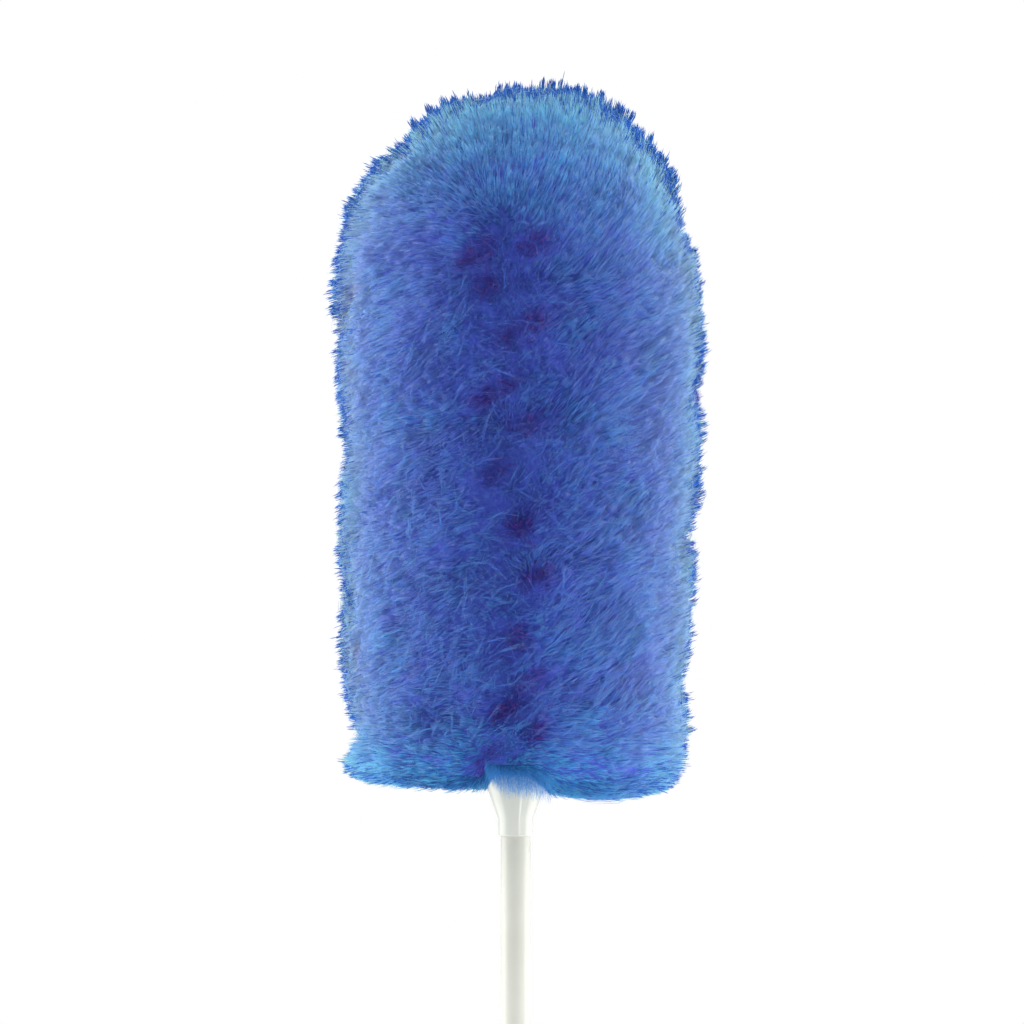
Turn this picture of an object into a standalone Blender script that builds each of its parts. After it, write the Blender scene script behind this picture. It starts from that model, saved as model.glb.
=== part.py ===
"""Extendable lambswool duster: a wool head on a white cone and a two-part twist-lock handle.

The duster stands upright along +Z, head up, pushed fully in. The origin is the middle of the hand
grip, on the tubes' common axis. All sizes are in metres.
"""

import math

import bmesh
import bpy
from mathutils import Matrix, Vector

# Clearances
SEAT = 0.0003  # between faces that rest on each other or fit tightly
SLIDE_CLEARANCE = 0.0003  # round the inner tube where it runs in its guide
JOURNAL_CLEARANCE = 0.00045  # round the off-centre journal, which lets it turn 30 degrees each way

# Telescoping handle
INNER_TUBE_D = 0.0150
INNER_TUBE_WALL = 0.0012
OUTER_TUBE_WALL = 0.00125
TRAVEL = 0.330  # how far the inner tube pulls out
SHOWING_WHEN_SHORT = 0.110  # inner tube between the mouth collar and the head's collar, pushed in

# Mouth collar
GUIDE_WALL = 0.0009
GUIDE_LENGTH = 0.024
MOUTH_SKIRT_WALL = 0.0018
MOUTH_SKIRT_LENGTH = 0.030
MOUTH_WEB = 0.0020
MOUTH_CHAMFER = 0.0012

# Hand grip
GRIP_LENGTH = 0.130
GRIP_WALL = 0.0021
GRIP_PLAIN_END = 0.011
RIB_HEIGHT = 0.0009
RIB_WIDTH = 0.0060
RIB_PITCH = 0.0120
GRIP_CHAMFER = 0.0008

# End cap
CAP_FLANGE = 0.0030
CAP_LENGTH = 0.0240  # from the flange's top to the flat butt end
CAP_BUTT_D = 0.0200
CAP_TAB_THICKNESS = 0.0120
CAP_PLUG_LENGTH = 0.0180
CAP_PLUG_WALL = 0.0020
CAP_EDGE = 0.0010
HANG_HOLE_D = 0.0090
HANG_HOLE_HEIGHT = 0.0105  # its centre above the butt end

# Twist lock
SPINDLE_PLUG_LENGTH = 0.018
SPINDLE_SHOULDER = 0.0020
SPINDLE_FLANGE = 0.0020
SPINDLE_FLANGE_D = 0.0125
JOURNAL_D = 0.0080
JOURNAL_OFFSET = 0.0006
RING_LENGTH = 0.0120
RING_SPLIT = 0.0018
PIN_D = 0.0024
PIN_HEIGHT = 0.0090  # above the inner tube's lower end

# Cone ferrule
COLLAR_WALL = 0.0011
COLLAR_HEIGHT = 0.0087
COLLAR_EDGE = 0.0004
CONE_ANGLE = math.radians(19.5)
CONE_RIM_R = 0.0170
CONE_WALL = 0.0016
SOCKET_DEPTH = 0.032
SOCKET_END_WALL = 0.003
SPIGOT_WALL = 0.0016
SPIGOT_LENGTH = 0.030  # above the ledge that the core tube stands on

# Core of the head
CORE_WALL = 0.0015
CORE_PLUG_FLANGE = 0.0020
CORE_PLUG_LENGTH = 0.0140
TIP_DISC_D = 0.0300
TIP_DISC_THICKNESS = 0.0012
TIP_SCREW_D = 0.0035
TIP_SCREW_LENGTH = 0.0120
TIP_SCREW_HEAD_D = 0.0080
TIP_SCREW_HEAD = 0.0024
TIP_SCREW_SLOT = 0.0011
TIP_SCREW_SLOT_LENGTH = 0.0046
TIP_SCREW_SLOT_DEPTH = 0.0012

# Wound pelt strip
PELT_THICKNESS = 0.0020
PELT_WIDTH = 0.0655
PELT_PITCH = 0.0700
PELT_TURNS = 3
PELT_COVER = 0.0010  # how far above the narrowest place the strip starts inside the cone's cup
TACKS = 5
TACK_HEAD_D = 0.0060
TACK_HEAD = 0.0008
TACK_SHANK_D = 0.0016
TACK_LENGTH = 0.0042  # under the head
TACK_SINK = 0.0005  # how deep the head's top lies under the pelt's outer side
TACK_INSET = 0.0100  # from the strip's lower end, measured round the core
TACK_TOP_INSET = 0.0080  # from its upper end

# Wool pile, as its outer shape
WOOL_TOP = 0.3764  # above the head's collar
WOOL_BOTTOM = 0.0224
WOOL_WIDE_R = 0.0915  # where the dome starts
WOOL_LOW_R = 0.0850  # just above the lower corner
WOOL_DOME = 0.1110
WOOL_DOME_POWER = 2.2
WOOL_CORNER = 0.0090
WOOL_BULGE = 0.0025  # how far the upper half leans to +X
WOOL_BULGE_HEIGHT = 0.2300
WOOL_BULGE_REACH = 0.1500
WOOL_SLANT = 0.0030  # how much lower the bottom hangs on +X than in the middle
PARTING_DEPTH = 0.0035
PARTING_WIDTH = 0.0200
PARTING_PHASE = 0.22  # turns from +X at which the parting passes the strip's start

# Facets
TUBE_STEPS = 32
SMALL_STEPS = 16
WOOL_STEPS = 44
PELT_STEPS = 24
DOME_RINGS = 9
SIDE_RINGS = 24
CORNER_RINGS = 3
EMPTY_SIZE = 0.0200  # of the axes drawn at the handle's, the lock's and the head's place

# Radii that follow from those sizes
INNER_R = INNER_TUBE_D / 2
INNER_BORE_R = INNER_R - INNER_TUBE_WALL
GUIDE_BORE_R = INNER_R + SLIDE_CLEARANCE
GUIDE_R = GUIDE_BORE_R + GUIDE_WALL
OUTER_BORE_R = GUIDE_R + SEAT
OUTER_R = OUTER_BORE_R + OUTER_TUBE_WALL
SLEEVE_BORE_R = OUTER_R + SEAT
MOUTH_R = SLEEVE_BORE_R + MOUTH_SKIRT_WALL
GRIP_R = SLEEVE_BORE_R + GRIP_WALL
RIB_R = GRIP_R + RIB_HEIGHT
RING_R = OUTER_BORE_R - SEAT
RING_BORE_R = JOURNAL_D / 2 + JOURNAL_CLEARANCE
SOCKET_R = INNER_R + SEAT
COLLAR_R = SOCKET_R + COLLAR_WALL
SPIGOT_R = SOCKET_R + SPIGOT_WALL
CORE_BORE_R = SPIGOT_R + SEAT
CORE_R = CORE_BORE_R + CORE_WALL
PELT_IN_R = CORE_R + SEAT
PELT_OUT_R = PELT_IN_R + PELT_THICKNESS
TACK_HEAD_UNDER = PELT_OUT_R - TACK_SINK - TACK_HEAD
SCREW_HOLE_R = TIP_SCREW_D / 2 + SEAT

# Heights along the handle
GRIP_BOTTOM = -GRIP_LENGTH / 2
FLANGE_TOP = GRIP_BOTTOM - SEAT
BUTT = FLANGE_TOP - CAP_LENGTH
CAP_PLUG_TOP = FLANGE_TOP + CAP_PLUG_LENGTH
SPINDLE_BOTTOM = CAP_PLUG_TOP + SEAT
RING_BOTTOM = SPINDLE_BOTTOM + SPINDLE_FLANGE + SEAT
RING_TOP = RING_BOTTOM + RING_LENGTH
SHOULDER_BOTTOM = RING_TOP + SEAT
SHOULDER_TOP = SHOULDER_BOTTOM + SPINDLE_SHOULDER
INNER_BOTTOM = SHOULDER_TOP + SEAT
GUIDE_BOTTOM = RING_TOP + TRAVEL + SEAT
WEB_BOTTOM = GUIDE_BOTTOM + GUIDE_LENGTH
OUTER_TOP = WEB_BOTTOM - SEAT
MOUTH_TOP = WEB_BOTTOM + MOUTH_WEB
HEAD_BOTTOM = MOUTH_TOP + SHOWING_WHEN_SHORT
INNER_TOP = HEAD_BOTTOM + SOCKET_DEPTH - SEAT

# Heights in the head, above the collar's lower rim
CONE_SLOPE = math.tan(CONE_ANGLE)
CONE_WALL_ACROSS = CONE_WALL / math.cos(CONE_ANGLE)
CONE_GAP_ACROSS = SEAT / math.cos(CONE_ANGLE)


def cone_height(radius):
    """Height at which the cone's outer side has this radius."""
    return COLLAR_HEIGHT + (radius - COLLAR_R) / CONE_SLOPE


def cone_radius(height):
    """Radius of the cone's outer side at this height."""
    return COLLAR_R + (height - COLLAR_HEIGHT) * CONE_SLOPE


CONE_RIM = cone_height(CONE_RIM_R)
LEDGE = cone_height(CORE_R + SEAT + CONE_WALL_ACROSS)
SPIGOT_TOP = LEDGE + SPIGOT_LENGTH
CORE_BOTTOM = LEDGE + SEAT
PELT_BOTTOM = cone_height(PELT_OUT_R + SEAT + CONE_WALL_ACROSS) + PELT_COVER
PELT_TOP = PELT_BOTTOM + PELT_PITCH * PELT_TURNS + PELT_WIDTH
CORE_TOP = PELT_TOP - CORE_PLUG_FLANGE - SEAT
DISC_BOTTOM = PELT_TOP + SEAT
DISC_TOP = DISC_BOTTOM + TIP_DISC_THICKNESS
SCREW_SEAT = DISC_TOP + SEAT
SCREW_TOP = SCREW_SEAT + TIP_SCREW_HEAD


def clear_scene():
    for old in list(bpy.data.objects):
        bpy.data.objects.remove(old, do_unlink=True)


def material(name, colour, roughness, metallic=0.0):
    """A Principled material; colour is linear red, green and blue."""
    made = bpy.data.materials.new(name)
    made.use_nodes = True
    shader = made.node_tree.nodes["Principled BSDF"]
    shader.inputs["Base Color"].default_value = (*colour, 1.0)
    shader.inputs["Roughness"].default_value = roughness
    shader.inputs["Metallic"].default_value = metallic
    made.diffuse_color = (*colour, 1.0)
    return made


def empty(name, height):
    """An empty on the handle's axis, which the pieces that move together hang from."""
    made = bpy.data.objects.new(name, None)
    made.empty_display_size = EMPTY_SIZE
    made.location = (0, 0, height)
    bpy.context.collection.objects.link(made)
    return made


def finish(name, mesh_data, look, parent, height):
    """Puts a bmesh into a named object with its material, at this height under its parent."""
    bmesh.ops.recalc_face_normals(mesh_data, faces=mesh_data.faces)
    mesh = bpy.data.meshes.new(name)
    mesh_data.to_mesh(mesh)
    mesh_data.free()
    mesh.shade_smooth()
    mesh.set_sharp_from_angle(angle=math.radians(35))
    mesh.materials.append(look)
    made = bpy.data.objects.new(name, mesh)
    bpy.context.collection.objects.link(made)
    made.parent = parent
    made.location = (0, 0, height - parent.location.z)
    return made


def turned(profile, steps):
    """A bmesh turned about Z from an outline of (radius, height) points."""
    shape = bmesh.new()
    points = [shape.verts.new((radius, 0, height)) for radius, height in profile]
    closes = profile[0][0] > 0
    ends = points[1:] + points[:1] if closes else points[1:]
    edges = [shape.edges.new(pair) for pair in zip(points, ends)]
    bmesh.ops.spin(
        shape,
        geom=points + edges,
        cent=(0, 0, 0),
        axis=(0, 0, 1),
        angle=math.tau,
        steps=steps,
        use_merge=True,
    )
    bmesh.ops.remove_doubles(shape, verts=shape.verts, dist=1e-6)
    return shape


def rod(radius, low, high, steps=SMALL_STEPS, centre=(0.0, 0.0)):
    """A plain upright cylinder as a bmesh."""
    shape = bmesh.new()
    bmesh.ops.create_cone(
        shape,
        cap_ends=True,
        segments=steps,
        radius1=radius,
        radius2=radius,
        depth=high - low,
        matrix=Matrix.Translation((*centre, (low + high) / 2)),
    )
    return shape


def hidden(made):
    """Marks an object as a helper that only cuts or joins."""
    made.hide_render = True
    made.display_type = "WIRE"
    made.hide_viewport = False
    return made


def joined(made, other, operation):
    """Adds a Boolean modifier that cuts with, or joins, a hidden helper."""
    step = made.modifiers.new(other.name, "BOOLEAN")
    step.operation = operation
    step.solver = "EXACT"
    step.object = hidden(other)


def cross_rod(name, radius, length, place, direction, look, parent, height):
    """A cylinder lying along a level direction, centred at a place above the given height."""
    turn = Vector((0, 0, 1)).rotation_difference(Vector(direction)).to_matrix().to_4x4()
    shape = rod(radius, -length / 2, length / 2)
    bmesh.ops.transform(shape, matrix=Matrix.Translation(place) @ turn, verts=shape.verts)
    return finish(name, shape, look, parent, height)


def make_end_cap(handle, look):
    length = CAP_LENGTH
    flange_r = GRIP_R
    plug_r = OUTER_BORE_R - SEAT
    profile = [
        (0, length - CAP_FLANGE),
        (plug_r - CAP_PLUG_WALL, length - CAP_FLANGE),
        (plug_r - CAP_PLUG_WALL, length + CAP_PLUG_LENGTH),
        (plug_r, length + CAP_PLUG_LENGTH),
        (plug_r, length),
        (flange_r - CAP_EDGE, length),
        (flange_r, length - CAP_EDGE),
        (flange_r, length - CAP_FLANGE),
        (CAP_BUTT_D / 2, CAP_EDGE),
        (CAP_BUTT_D / 2 - CAP_EDGE, 0),
        (0, 0),
    ]
    cap = finish("end_cap", turned(profile, TUBE_STEPS), look, handle, BUTT)
    for side in (1, -1):
        flat = bmesh.new()
        bmesh.ops.create_cube(flat, size=1.0)
        deep = flange_r
        tall = length - CAP_FLANGE
        middle = Vector((0, side * (CAP_TAB_THICKNESS / 2 + deep / 2), tall / 2 - SEAT))
        size = Matrix.Diagonal((3 * flange_r, deep, tall + 2 * SEAT, 1))
        bmesh.ops.transform(flat, matrix=Matrix.Translation(middle) @ size, verts=flat.verts)
        joined(cap, finish(f"cap_flat_cutter_{side}", flat, look, handle, BUTT), "DIFFERENCE")
    hole = cross_rod(
        "hang_hole_cutter",
        HANG_HOLE_D / 2,
        4 * flange_r,
        (0, 0, HANG_HOLE_HEIGHT),
        (0, 1, 0),
        look,
        handle,
        BUTT,
    )
    joined(cap, hole, "DIFFERENCE")
    return cap


def make_outer_tube(handle, look):
    length = OUTER_TOP - GRIP_BOTTOM
    profile = [
        (OUTER_R, length),
        (OUTER_R, 0),
        (OUTER_BORE_R, 0),
        (OUTER_BORE_R, length),
    ]
    return finish("outer_tube", turned(profile, TUBE_STEPS), look, handle, GRIP_BOTTOM)


def make_hand_grip(handle, look):
    ribs = int((GRIP_LENGTH - 2 * GRIP_PLAIN_END) / RIB_PITCH)
    first = (GRIP_LENGTH - (ribs - 1) * RIB_PITCH) / 2
    profile = [
        (SLEEVE_BORE_R, GRIP_LENGTH),
        (SLEEVE_BORE_R, 0),
        (GRIP_R, 0),
    ]
    for rib in range(ribs):
        middle = first + rib * RIB_PITCH
        profile += [
            (GRIP_R, middle - RIB_WIDTH / 2),
            (RIB_R, middle - RIB_WIDTH / 2 + RIB_HEIGHT),
            (RIB_R, middle + RIB_WIDTH / 2 - RIB_HEIGHT),
            (GRIP_R, middle + RIB_WIDTH / 2),
        ]
    profile += [(GRIP_R, GRIP_LENGTH - GRIP_CHAMFER), (GRIP_R - GRIP_CHAMFER, GRIP_LENGTH)]
    return finish("hand_grip", turned(profile, TUBE_STEPS), look, handle, GRIP_BOTTOM)


def make_mouth_collar(handle, look):
    base = MOUTH_TOP - MOUTH_SKIRT_LENGTH
    top = MOUTH_SKIRT_LENGTH
    web = WEB_BOTTOM - base
    profile = [
        (MOUTH_R - MOUTH_CHAMFER, top),
        (MOUTH_R, top - MOUTH_CHAMFER),
        (MOUTH_R, 0),
        (SLEEVE_BORE_R, 0),
        (SLEEVE_BORE_R, web),
        (GUIDE_R, web),
        (GUIDE_R, GUIDE_BOTTOM - base),
        (GUIDE_BORE_R, GUIDE_BOTTOM - base),
        (GUIDE_BORE_R, top),
    ]
    return finish("mouth_collar", turned(profile, TUBE_STEPS), look, handle, base)


def make_cam_ring(cam, look):
    ring = finish("cam_ring", rod(RING_R, 0, RING_LENGTH, TUBE_STEPS), look, cam, RING_BOTTOM)
    bore = finish(
        "ring_bore_cutter",
        rod(RING_BORE_R, -RING_LENGTH, 2 * RING_LENGTH, TUBE_STEPS, (JOURNAL_OFFSET, 0)),
        look,
        cam,
        RING_BOTTOM,
    )
    joined(ring, bore, "DIFFERENCE")
    slot = bmesh.new()
    bmesh.ops.create_cube(slot, size=1.0)
    middle = Matrix.Translation((-RING_R, 0, RING_LENGTH / 2))
    size = Matrix.Diagonal((2 * RING_R, RING_SPLIT, 3 * RING_LENGTH, 1))
    bmesh.ops.transform(slot, matrix=middle @ size, verts=slot.verts)
    joined(ring, finish("ring_split_cutter", slot, look, cam, RING_BOTTOM), "DIFFERENCE")
    return ring


def make_cam_spindle(head, look):
    journal = SHOULDER_BOTTOM - SPINDLE_BOTTOM
    plug_bottom = SHOULDER_TOP - SPINDLE_BOTTOM
    plug_top = INNER_BOTTOM + SPINDLE_PLUG_LENGTH - SPINDLE_BOTTOM
    plug_r = INNER_BORE_R - SEAT
    profile = [
        (0, plug_top),
        (plug_r - SEAT, plug_top),
        (plug_r, plug_top - SEAT),
        (plug_r, plug_bottom),
        (INNER_R, plug_bottom),
        (INNER_R, journal),
        (0, journal),
    ]
    spindle = finish("cam_spindle", turned(profile, TUBE_STEPS), look, head, SPINDLE_BOTTOM)
    journal_rod = rod(JOURNAL_D / 2, 0, journal + SPINDLE_SHOULDER / 2, TUBE_STEPS, (JOURNAL_OFFSET, 0))
    joined(
        spindle,
        finish("journal_join", journal_rod, look, head, SPINDLE_BOTTOM),
        "UNION",
    )
    flange = rod(SPINDLE_FLANGE_D / 2, 0, SPINDLE_FLANGE, TUBE_STEPS)
    joined(spindle, finish("flange_join", flange, look, head, SPINDLE_BOTTOM), "UNION")
    hole = cross_rod(
        "spindle_hole_cutter",
        PIN_D / 2 + SEAT,
        4 * INNER_R,
        (0, 0, PIN_HEIGHT),
        (0, 1, 0),
        look,
        head,
        INNER_BOTTOM,
    )
    joined(spindle, hole, "DIFFERENCE")
    return spindle


def make_inner_tube(head, look):
    length = INNER_TOP - INNER_BOTTOM
    profile = [
        (INNER_R, length),
        (INNER_R, 0),
        (INNER_BORE_R, 0),
        (INNER_BORE_R, length),
    ]
    tube = finish("inner_tube", turned(profile, TUBE_STEPS), look, head, INNER_BOTTOM)
    hole = cross_rod(
        "tube_hole_cutter",
        PIN_D / 2 + SEAT,
        4 * INNER_R,
        (0, 0, PIN_HEIGHT),
        (0, 1, 0),
        look,
        head,
        INNER_BOTTOM,
    )
    joined(tube, hole, "DIFFERENCE")
    return tube


def make_spindle_pin(head, look):
    length = 2 * (INNER_R - SEAT)
    place = (0, 0, PIN_HEIGHT)
    return cross_rod("spindle_pin", PIN_D / 2, length, place, (0, 1, 0), look, head, INNER_BOTTOM)


def make_cone_ferrule(head, look):
    rim_in = CONE_RIM_R - CONE_WALL_ACROSS
    ledge_r = CORE_R + SEAT
    profile = [
        (CONE_RIM_R, CONE_RIM),
        (COLLAR_R, COLLAR_HEIGHT),
        (COLLAR_R, COLLAR_EDGE),
        (COLLAR_R - COLLAR_EDGE, 0),
        (SOCKET_R, 0),
        (SOCKET_R, SOCKET_DEPTH),
        (0, SOCKET_DEPTH),
    ]
    inside = [
        (0, SOCKET_DEPTH + SOCKET_END_WALL),
        (SOCKET_R, SOCKET_DEPTH + SOCKET_END_WALL),
        (SOCKET_R, SPIGOT_TOP),
        (SPIGOT_R, SPIGOT_TOP),
        (SPIGOT_R, LEDGE),
        (ledge_r, LEDGE),
        (rim_in, CONE_RIM),
    ]
    return finish(
        "cone_ferrule", turned(inside + profile, TUBE_STEPS), look, head, HEAD_BOTTOM
    )


def make_core_tube(head, look):
    length = CORE_TOP - CORE_BOTTOM
    profile = [(CORE_R, length), (CORE_R, 0), (CORE_BORE_R, 0), (CORE_BORE_R, length)]
    shape = turned(profile, TUBE_STEPS)
    return finish("core_tube", shape, look, head, HEAD_BOTTOM + CORE_BOTTOM)


def make_core_plug(head, look):
    bottom = CORE_TOP - CORE_PLUG_LENGTH
    height = PELT_TOP - bottom
    plug_r = CORE_BORE_R - SEAT
    profile = [
        (CORE_R, height),
        (CORE_R, height - CORE_PLUG_FLANGE),
        (plug_r, height - CORE_PLUG_FLANGE),
        (plug_r, 0),
        (SCREW_HOLE_R, 0),
        (SCREW_HOLE_R, height),
    ]
    return finish("core_plug", turned(profile, TUBE_STEPS), look, head, HEAD_BOTTOM + bottom)


def make_tip_disc(head, look):
    profile = [
        (TIP_DISC_D / 2, TIP_DISC_THICKNESS),
        (TIP_DISC_D / 2, 0),
        (SCREW_HOLE_R, 0),
        (SCREW_HOLE_R, TIP_DISC_THICKNESS),
    ]
    shape = turned(profile, TUBE_STEPS)
    return finish("tip_disc", shape, look, head, HEAD_BOTTOM + DISC_BOTTOM)


def make_tip_screw(head, look):
    edge = TIP_SCREW_HEAD / 3
    profile = [
        (0, TIP_SCREW_LENGTH + TIP_SCREW_HEAD),
        (TIP_SCREW_HEAD_D / 2 - edge, TIP_SCREW_LENGTH + TIP_SCREW_HEAD),
        (TIP_SCREW_HEAD_D / 2, TIP_SCREW_LENGTH + TIP_SCREW_HEAD - edge),
        (TIP_SCREW_HEAD_D / 2, TIP_SCREW_LENGTH),
        (TIP_SCREW_D / 2, TIP_SCREW_LENGTH),
        (TIP_SCREW_D / 2, TIP_SCREW_D / 2),
        (0, 0),
    ]
    base = HEAD_BOTTOM + SCREW_SEAT - TIP_SCREW_LENGTH
    screw = finish("tip_screw", turned(profile, SMALL_STEPS), look, head, base)
    for turn in (0, 90):
        slot = bmesh.new()
        bmesh.ops.create_cube(slot, size=1.0)
        top = TIP_SCREW_LENGTH + TIP_SCREW_HEAD
        place = Matrix.Translation((0, 0, top))
        size = Matrix.Diagonal((TIP_SCREW_SLOT_LENGTH, TIP_SCREW_SLOT, 2 * TIP_SCREW_SLOT_DEPTH, 1))
        spun = Matrix.Rotation(math.radians(turn), 4, "Z")
        bmesh.ops.transform(slot, matrix=place @ spun @ size, verts=slot.verts)
        joined(screw, finish(f"screw_slot_cutter_{turn}", slot, look, head, base), "DIFFERENCE")
    return screw


def tack_places():
    """(angle, height) of each tack on the strip's centre line, from its lower end to its upper end."""
    first = TACK_INSET / PELT_OUT_R
    last = math.tau * PELT_TURNS - TACK_TOP_INSET / PELT_OUT_R
    places = []
    for tack in range(TACKS):
        angle = first + (last - first) * tack / (TACKS - 1)
        height = PELT_BOTTOM + PELT_WIDTH / 2 + PELT_PITCH * angle / math.tau
        places.append((angle, height))
    return places


def set_round_core(shape, inner_end, angle):
    """Lays an upright turned shape along a level direction, with its foot at this radius."""
    way = Vector((math.cos(angle), math.sin(angle), 0))
    turn = Vector((0, 0, 1)).rotation_difference(way).to_matrix().to_4x4()
    place = Matrix.Translation(way * inner_end)
    bmesh.ops.transform(shape, matrix=place @ turn, verts=shape.verts)
    return shape


def tack_cutter(name, angle, height, look, head):
    """The hole for one tack: its shank's way through pelt and core, and the pocket for its head."""
    foot = TACK_HEAD_UNDER - TACK_LENGTH - PELT_THICKNESS
    floor = TACK_HEAD_UNDER - SEAT - foot
    shank_r = TACK_SHANK_D / 2 + SEAT
    pocket_r = TACK_HEAD_D / 2 + SEAT
    profile = [
        (0, 2 * PELT_OUT_R),
        (pocket_r, 2 * PELT_OUT_R),
        (pocket_r, floor),
        (shank_r, floor),
        (shank_r, 0),
        (0, 0),
    ]
    shape = set_round_core(turned(profile, SMALL_STEPS), foot, angle)
    return finish(name, shape, look, head, HEAD_BOTTOM + height)


def make_tacks(head, look, pelt, core):
    for number, (angle, height) in enumerate(tack_places(), 1):
        hole = tack_cutter(f"tack_hole_cutter_{number}", angle, height, look, head)
        joined(pelt, hole, "DIFFERENCE")
        joined(core, hole, "DIFFERENCE")
        profile = [
            (0, TACK_LENGTH + TACK_HEAD),
            (TACK_HEAD_D / 2, TACK_LENGTH + TACK_HEAD),
            (TACK_HEAD_D / 2, TACK_LENGTH),
            (TACK_SHANK_D / 2, TACK_LENGTH),
            (TACK_SHANK_D / 2, TACK_SHANK_D),
            (0, 0),
        ]
        tack = set_round_core(turned(profile, SMALL_STEPS), TACK_HEAD_UNDER - TACK_LENGTH, angle)
        finish(f"pelt_tack_{number}", tack, look, head, HEAD_BOTTOM + height)


def make_pelt_strip(head, look):
    """One strip wound up the core: its cross-section moved along a screw line."""
    shape = bmesh.new()
    corners = [
        (PELT_IN_R, 0, 0),
        (PELT_OUT_R, 0, 0),
        (PELT_OUT_R, 0, PELT_WIDTH),
        (PELT_IN_R, 0, PELT_WIDTH),
    ]
    section = shape.faces.new([shape.verts.new(corner) for corner in corners])
    steps = PELT_STEPS * PELT_TURNS
    bmesh.ops.spin(
        shape,
        geom=[section, *section.edges, *section.verts],
        cent=(0, 0, 0),
        axis=(0, 0, 1),
        dvec=(0, 0, PELT_PITCH / PELT_STEPS),
        angle=math.tau * PELT_TURNS,
        steps=steps,
    )
    # The twisted sides are split along one fixed diagonal, so that they bend alike at any size.
    bmesh.ops.triangulate(shape, faces=shape.faces, quad_method="FIXED", ngon_method="BEAUTY")
    return finish("pelt_strip", shape, look, head, HEAD_BOTTOM + PELT_BOTTOM)


def wool_profile():
    """The pile's half outline, from the top down its outer side and up its bore, without partings."""
    dome_base = WOOL_TOP - WOOL_DOME
    profile = [(0, WOOL_TOP)]
    for ring in range(1, DOME_RINGS + 1):
        turn = math.pi / 2 * ring / DOME_RINGS
        share = math.cos(turn) ** (2 / WOOL_DOME_POWER)
        across = math.sin(turn) ** (2 / WOOL_DOME_POWER)
        profile.append((WOOL_WIDE_R * across, dome_base + WOOL_DOME * share))
    side_end = WOOL_BOTTOM + WOOL_CORNER
    for ring in range(1, SIDE_RINGS + 1):
        share = ring / SIDE_RINGS
        radius = WOOL_WIDE_R + (WOOL_LOW_R - WOOL_WIDE_R) * share
        profile.append((radius, dome_base + (side_end - dome_base) * share))
    for ring in range(1, CORNER_RINGS + 1):
        turn = math.pi / 2 * ring / CORNER_RINGS
        radius = WOOL_LOW_R - WOOL_CORNER + WOOL_CORNER * math.cos(turn)
        profile.append((radius, side_end - WOOL_CORNER * math.sin(turn)))
    bore_r = PELT_OUT_R + SEAT
    disc_r = TIP_DISC_D / 2 + SEAT
    screw_r = TIP_SCREW_HEAD_D / 2 + SEAT
    profile += [
        (cone_radius(WOOL_BOTTOM) + CONE_GAP_ACROSS, WOOL_BOTTOM),
        (CONE_RIM_R + CONE_GAP_ACROSS, CONE_RIM + SEAT),
        (bore_r, CONE_RIM + SEAT),
        (bore_r, DISC_BOTTOM - SEAT),
        (disc_r, DISC_BOTTOM - SEAT),
        (disc_r, DISC_TOP + SEAT),
        (screw_r, DISC_TOP + SEAT),
        (screw_r, SCREW_TOP + SEAT),
        (0, SCREW_TOP + SEAT),
    ]
    return profile


def parting(angle, height):
    """How deep the winding draws the pile in at this angle and height, along a screw line."""
    line = PELT_PITCH * (angle / math.tau - PARTING_PHASE) + PELT_BOTTOM
    away = (height - line + PELT_PITCH / 2) % PELT_PITCH - PELT_PITCH / 2
    near = max(0.0, 1 - abs(away) / (PARTING_WIDTH / 2))
    return PARTING_DEPTH * near * near * (3 - 2 * near)


def make_wool_pile(head, look):
    shape = turned(wool_profile(), WOOL_STEPS)
    dome_base = WOOL_TOP - WOOL_DOME
    bore = max(CONE_RIM_R, TIP_DISC_D / 2) + 2 * SEAT
    for point in shape.verts:
        across = math.hypot(point.co.x, point.co.y)
        height = point.co.z
        if across < bore:
            continue
        angle = math.atan2(point.co.y, point.co.x)
        fade = min(1.0, across / WOOL_WIDE_R) ** 2 if height > dome_base else 1.0
        if height < WOOL_BOTTOM + WOOL_CORNER / 2:
            fade = 0.0
        scale = 1 - parting(angle, height) * fade / across
        low = max(0.0, 1 - (height - WOOL_BOTTOM) / WOOL_BULGE_HEIGHT)
        reach = min(1.0, abs(height - WOOL_BULGE_HEIGHT) / WOOL_BULGE_REACH)
        lean = WOOL_BULGE * (1 - reach * reach) ** 2
        slant = -WOOL_SLANT * point.co.x / WOOL_LOW_R * low ** 4
        point.co = Vector((point.co.x * scale + lean, point.co.y * scale, height + slant))
    return finish("wool_pile", shape, look, head, HEAD_BOTTOM)


def main():
    clear_scene()
    white = material("white gloss plastic", (0.82, 0.82, 0.79), 0.25)
    grip_white = material("soft grip vinyl", (0.62, 0.63, 0.62), 0.55)
    nylon = material("natural nylon", (0.70, 0.69, 0.62), 0.45)
    grey = material("grey core plastic", (0.35, 0.36, 0.37), 0.5)
    steel = material("zinc plated steel", (0.58, 0.58, 0.60), 0.3, 1.0)
    skin = material("tanned dyed pelt", (0.16, 0.22, 0.45), 0.8)
    wool = material("dyed lambswool", (0.06, 0.14, 0.48), 0.9)

    handle = empty("handle", 0)
    cam = empty("lock", RING_BOTTOM)
    cam.parent = handle
    head = empty("head", HEAD_BOTTOM)

    make_end_cap(handle, white)
    make_outer_tube(handle, white)
    make_hand_grip(handle, grip_white)
    make_mouth_collar(handle, white)
    make_cam_ring(cam, nylon)
    make_cam_spindle(head, nylon)
    make_inner_tube(head, white)
    make_spindle_pin(head, steel)
    make_cone_ferrule(head, white)
    core = make_core_tube(head, grey)
    make_core_plug(head, grey)
    make_tip_disc(head, steel)
    make_tip_screw(head, steel)
    pelt = make_pelt_strip(head, skin)
    make_tacks(head, steel, pelt, core)
    make_wool_pile(head, wool)


main()
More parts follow.
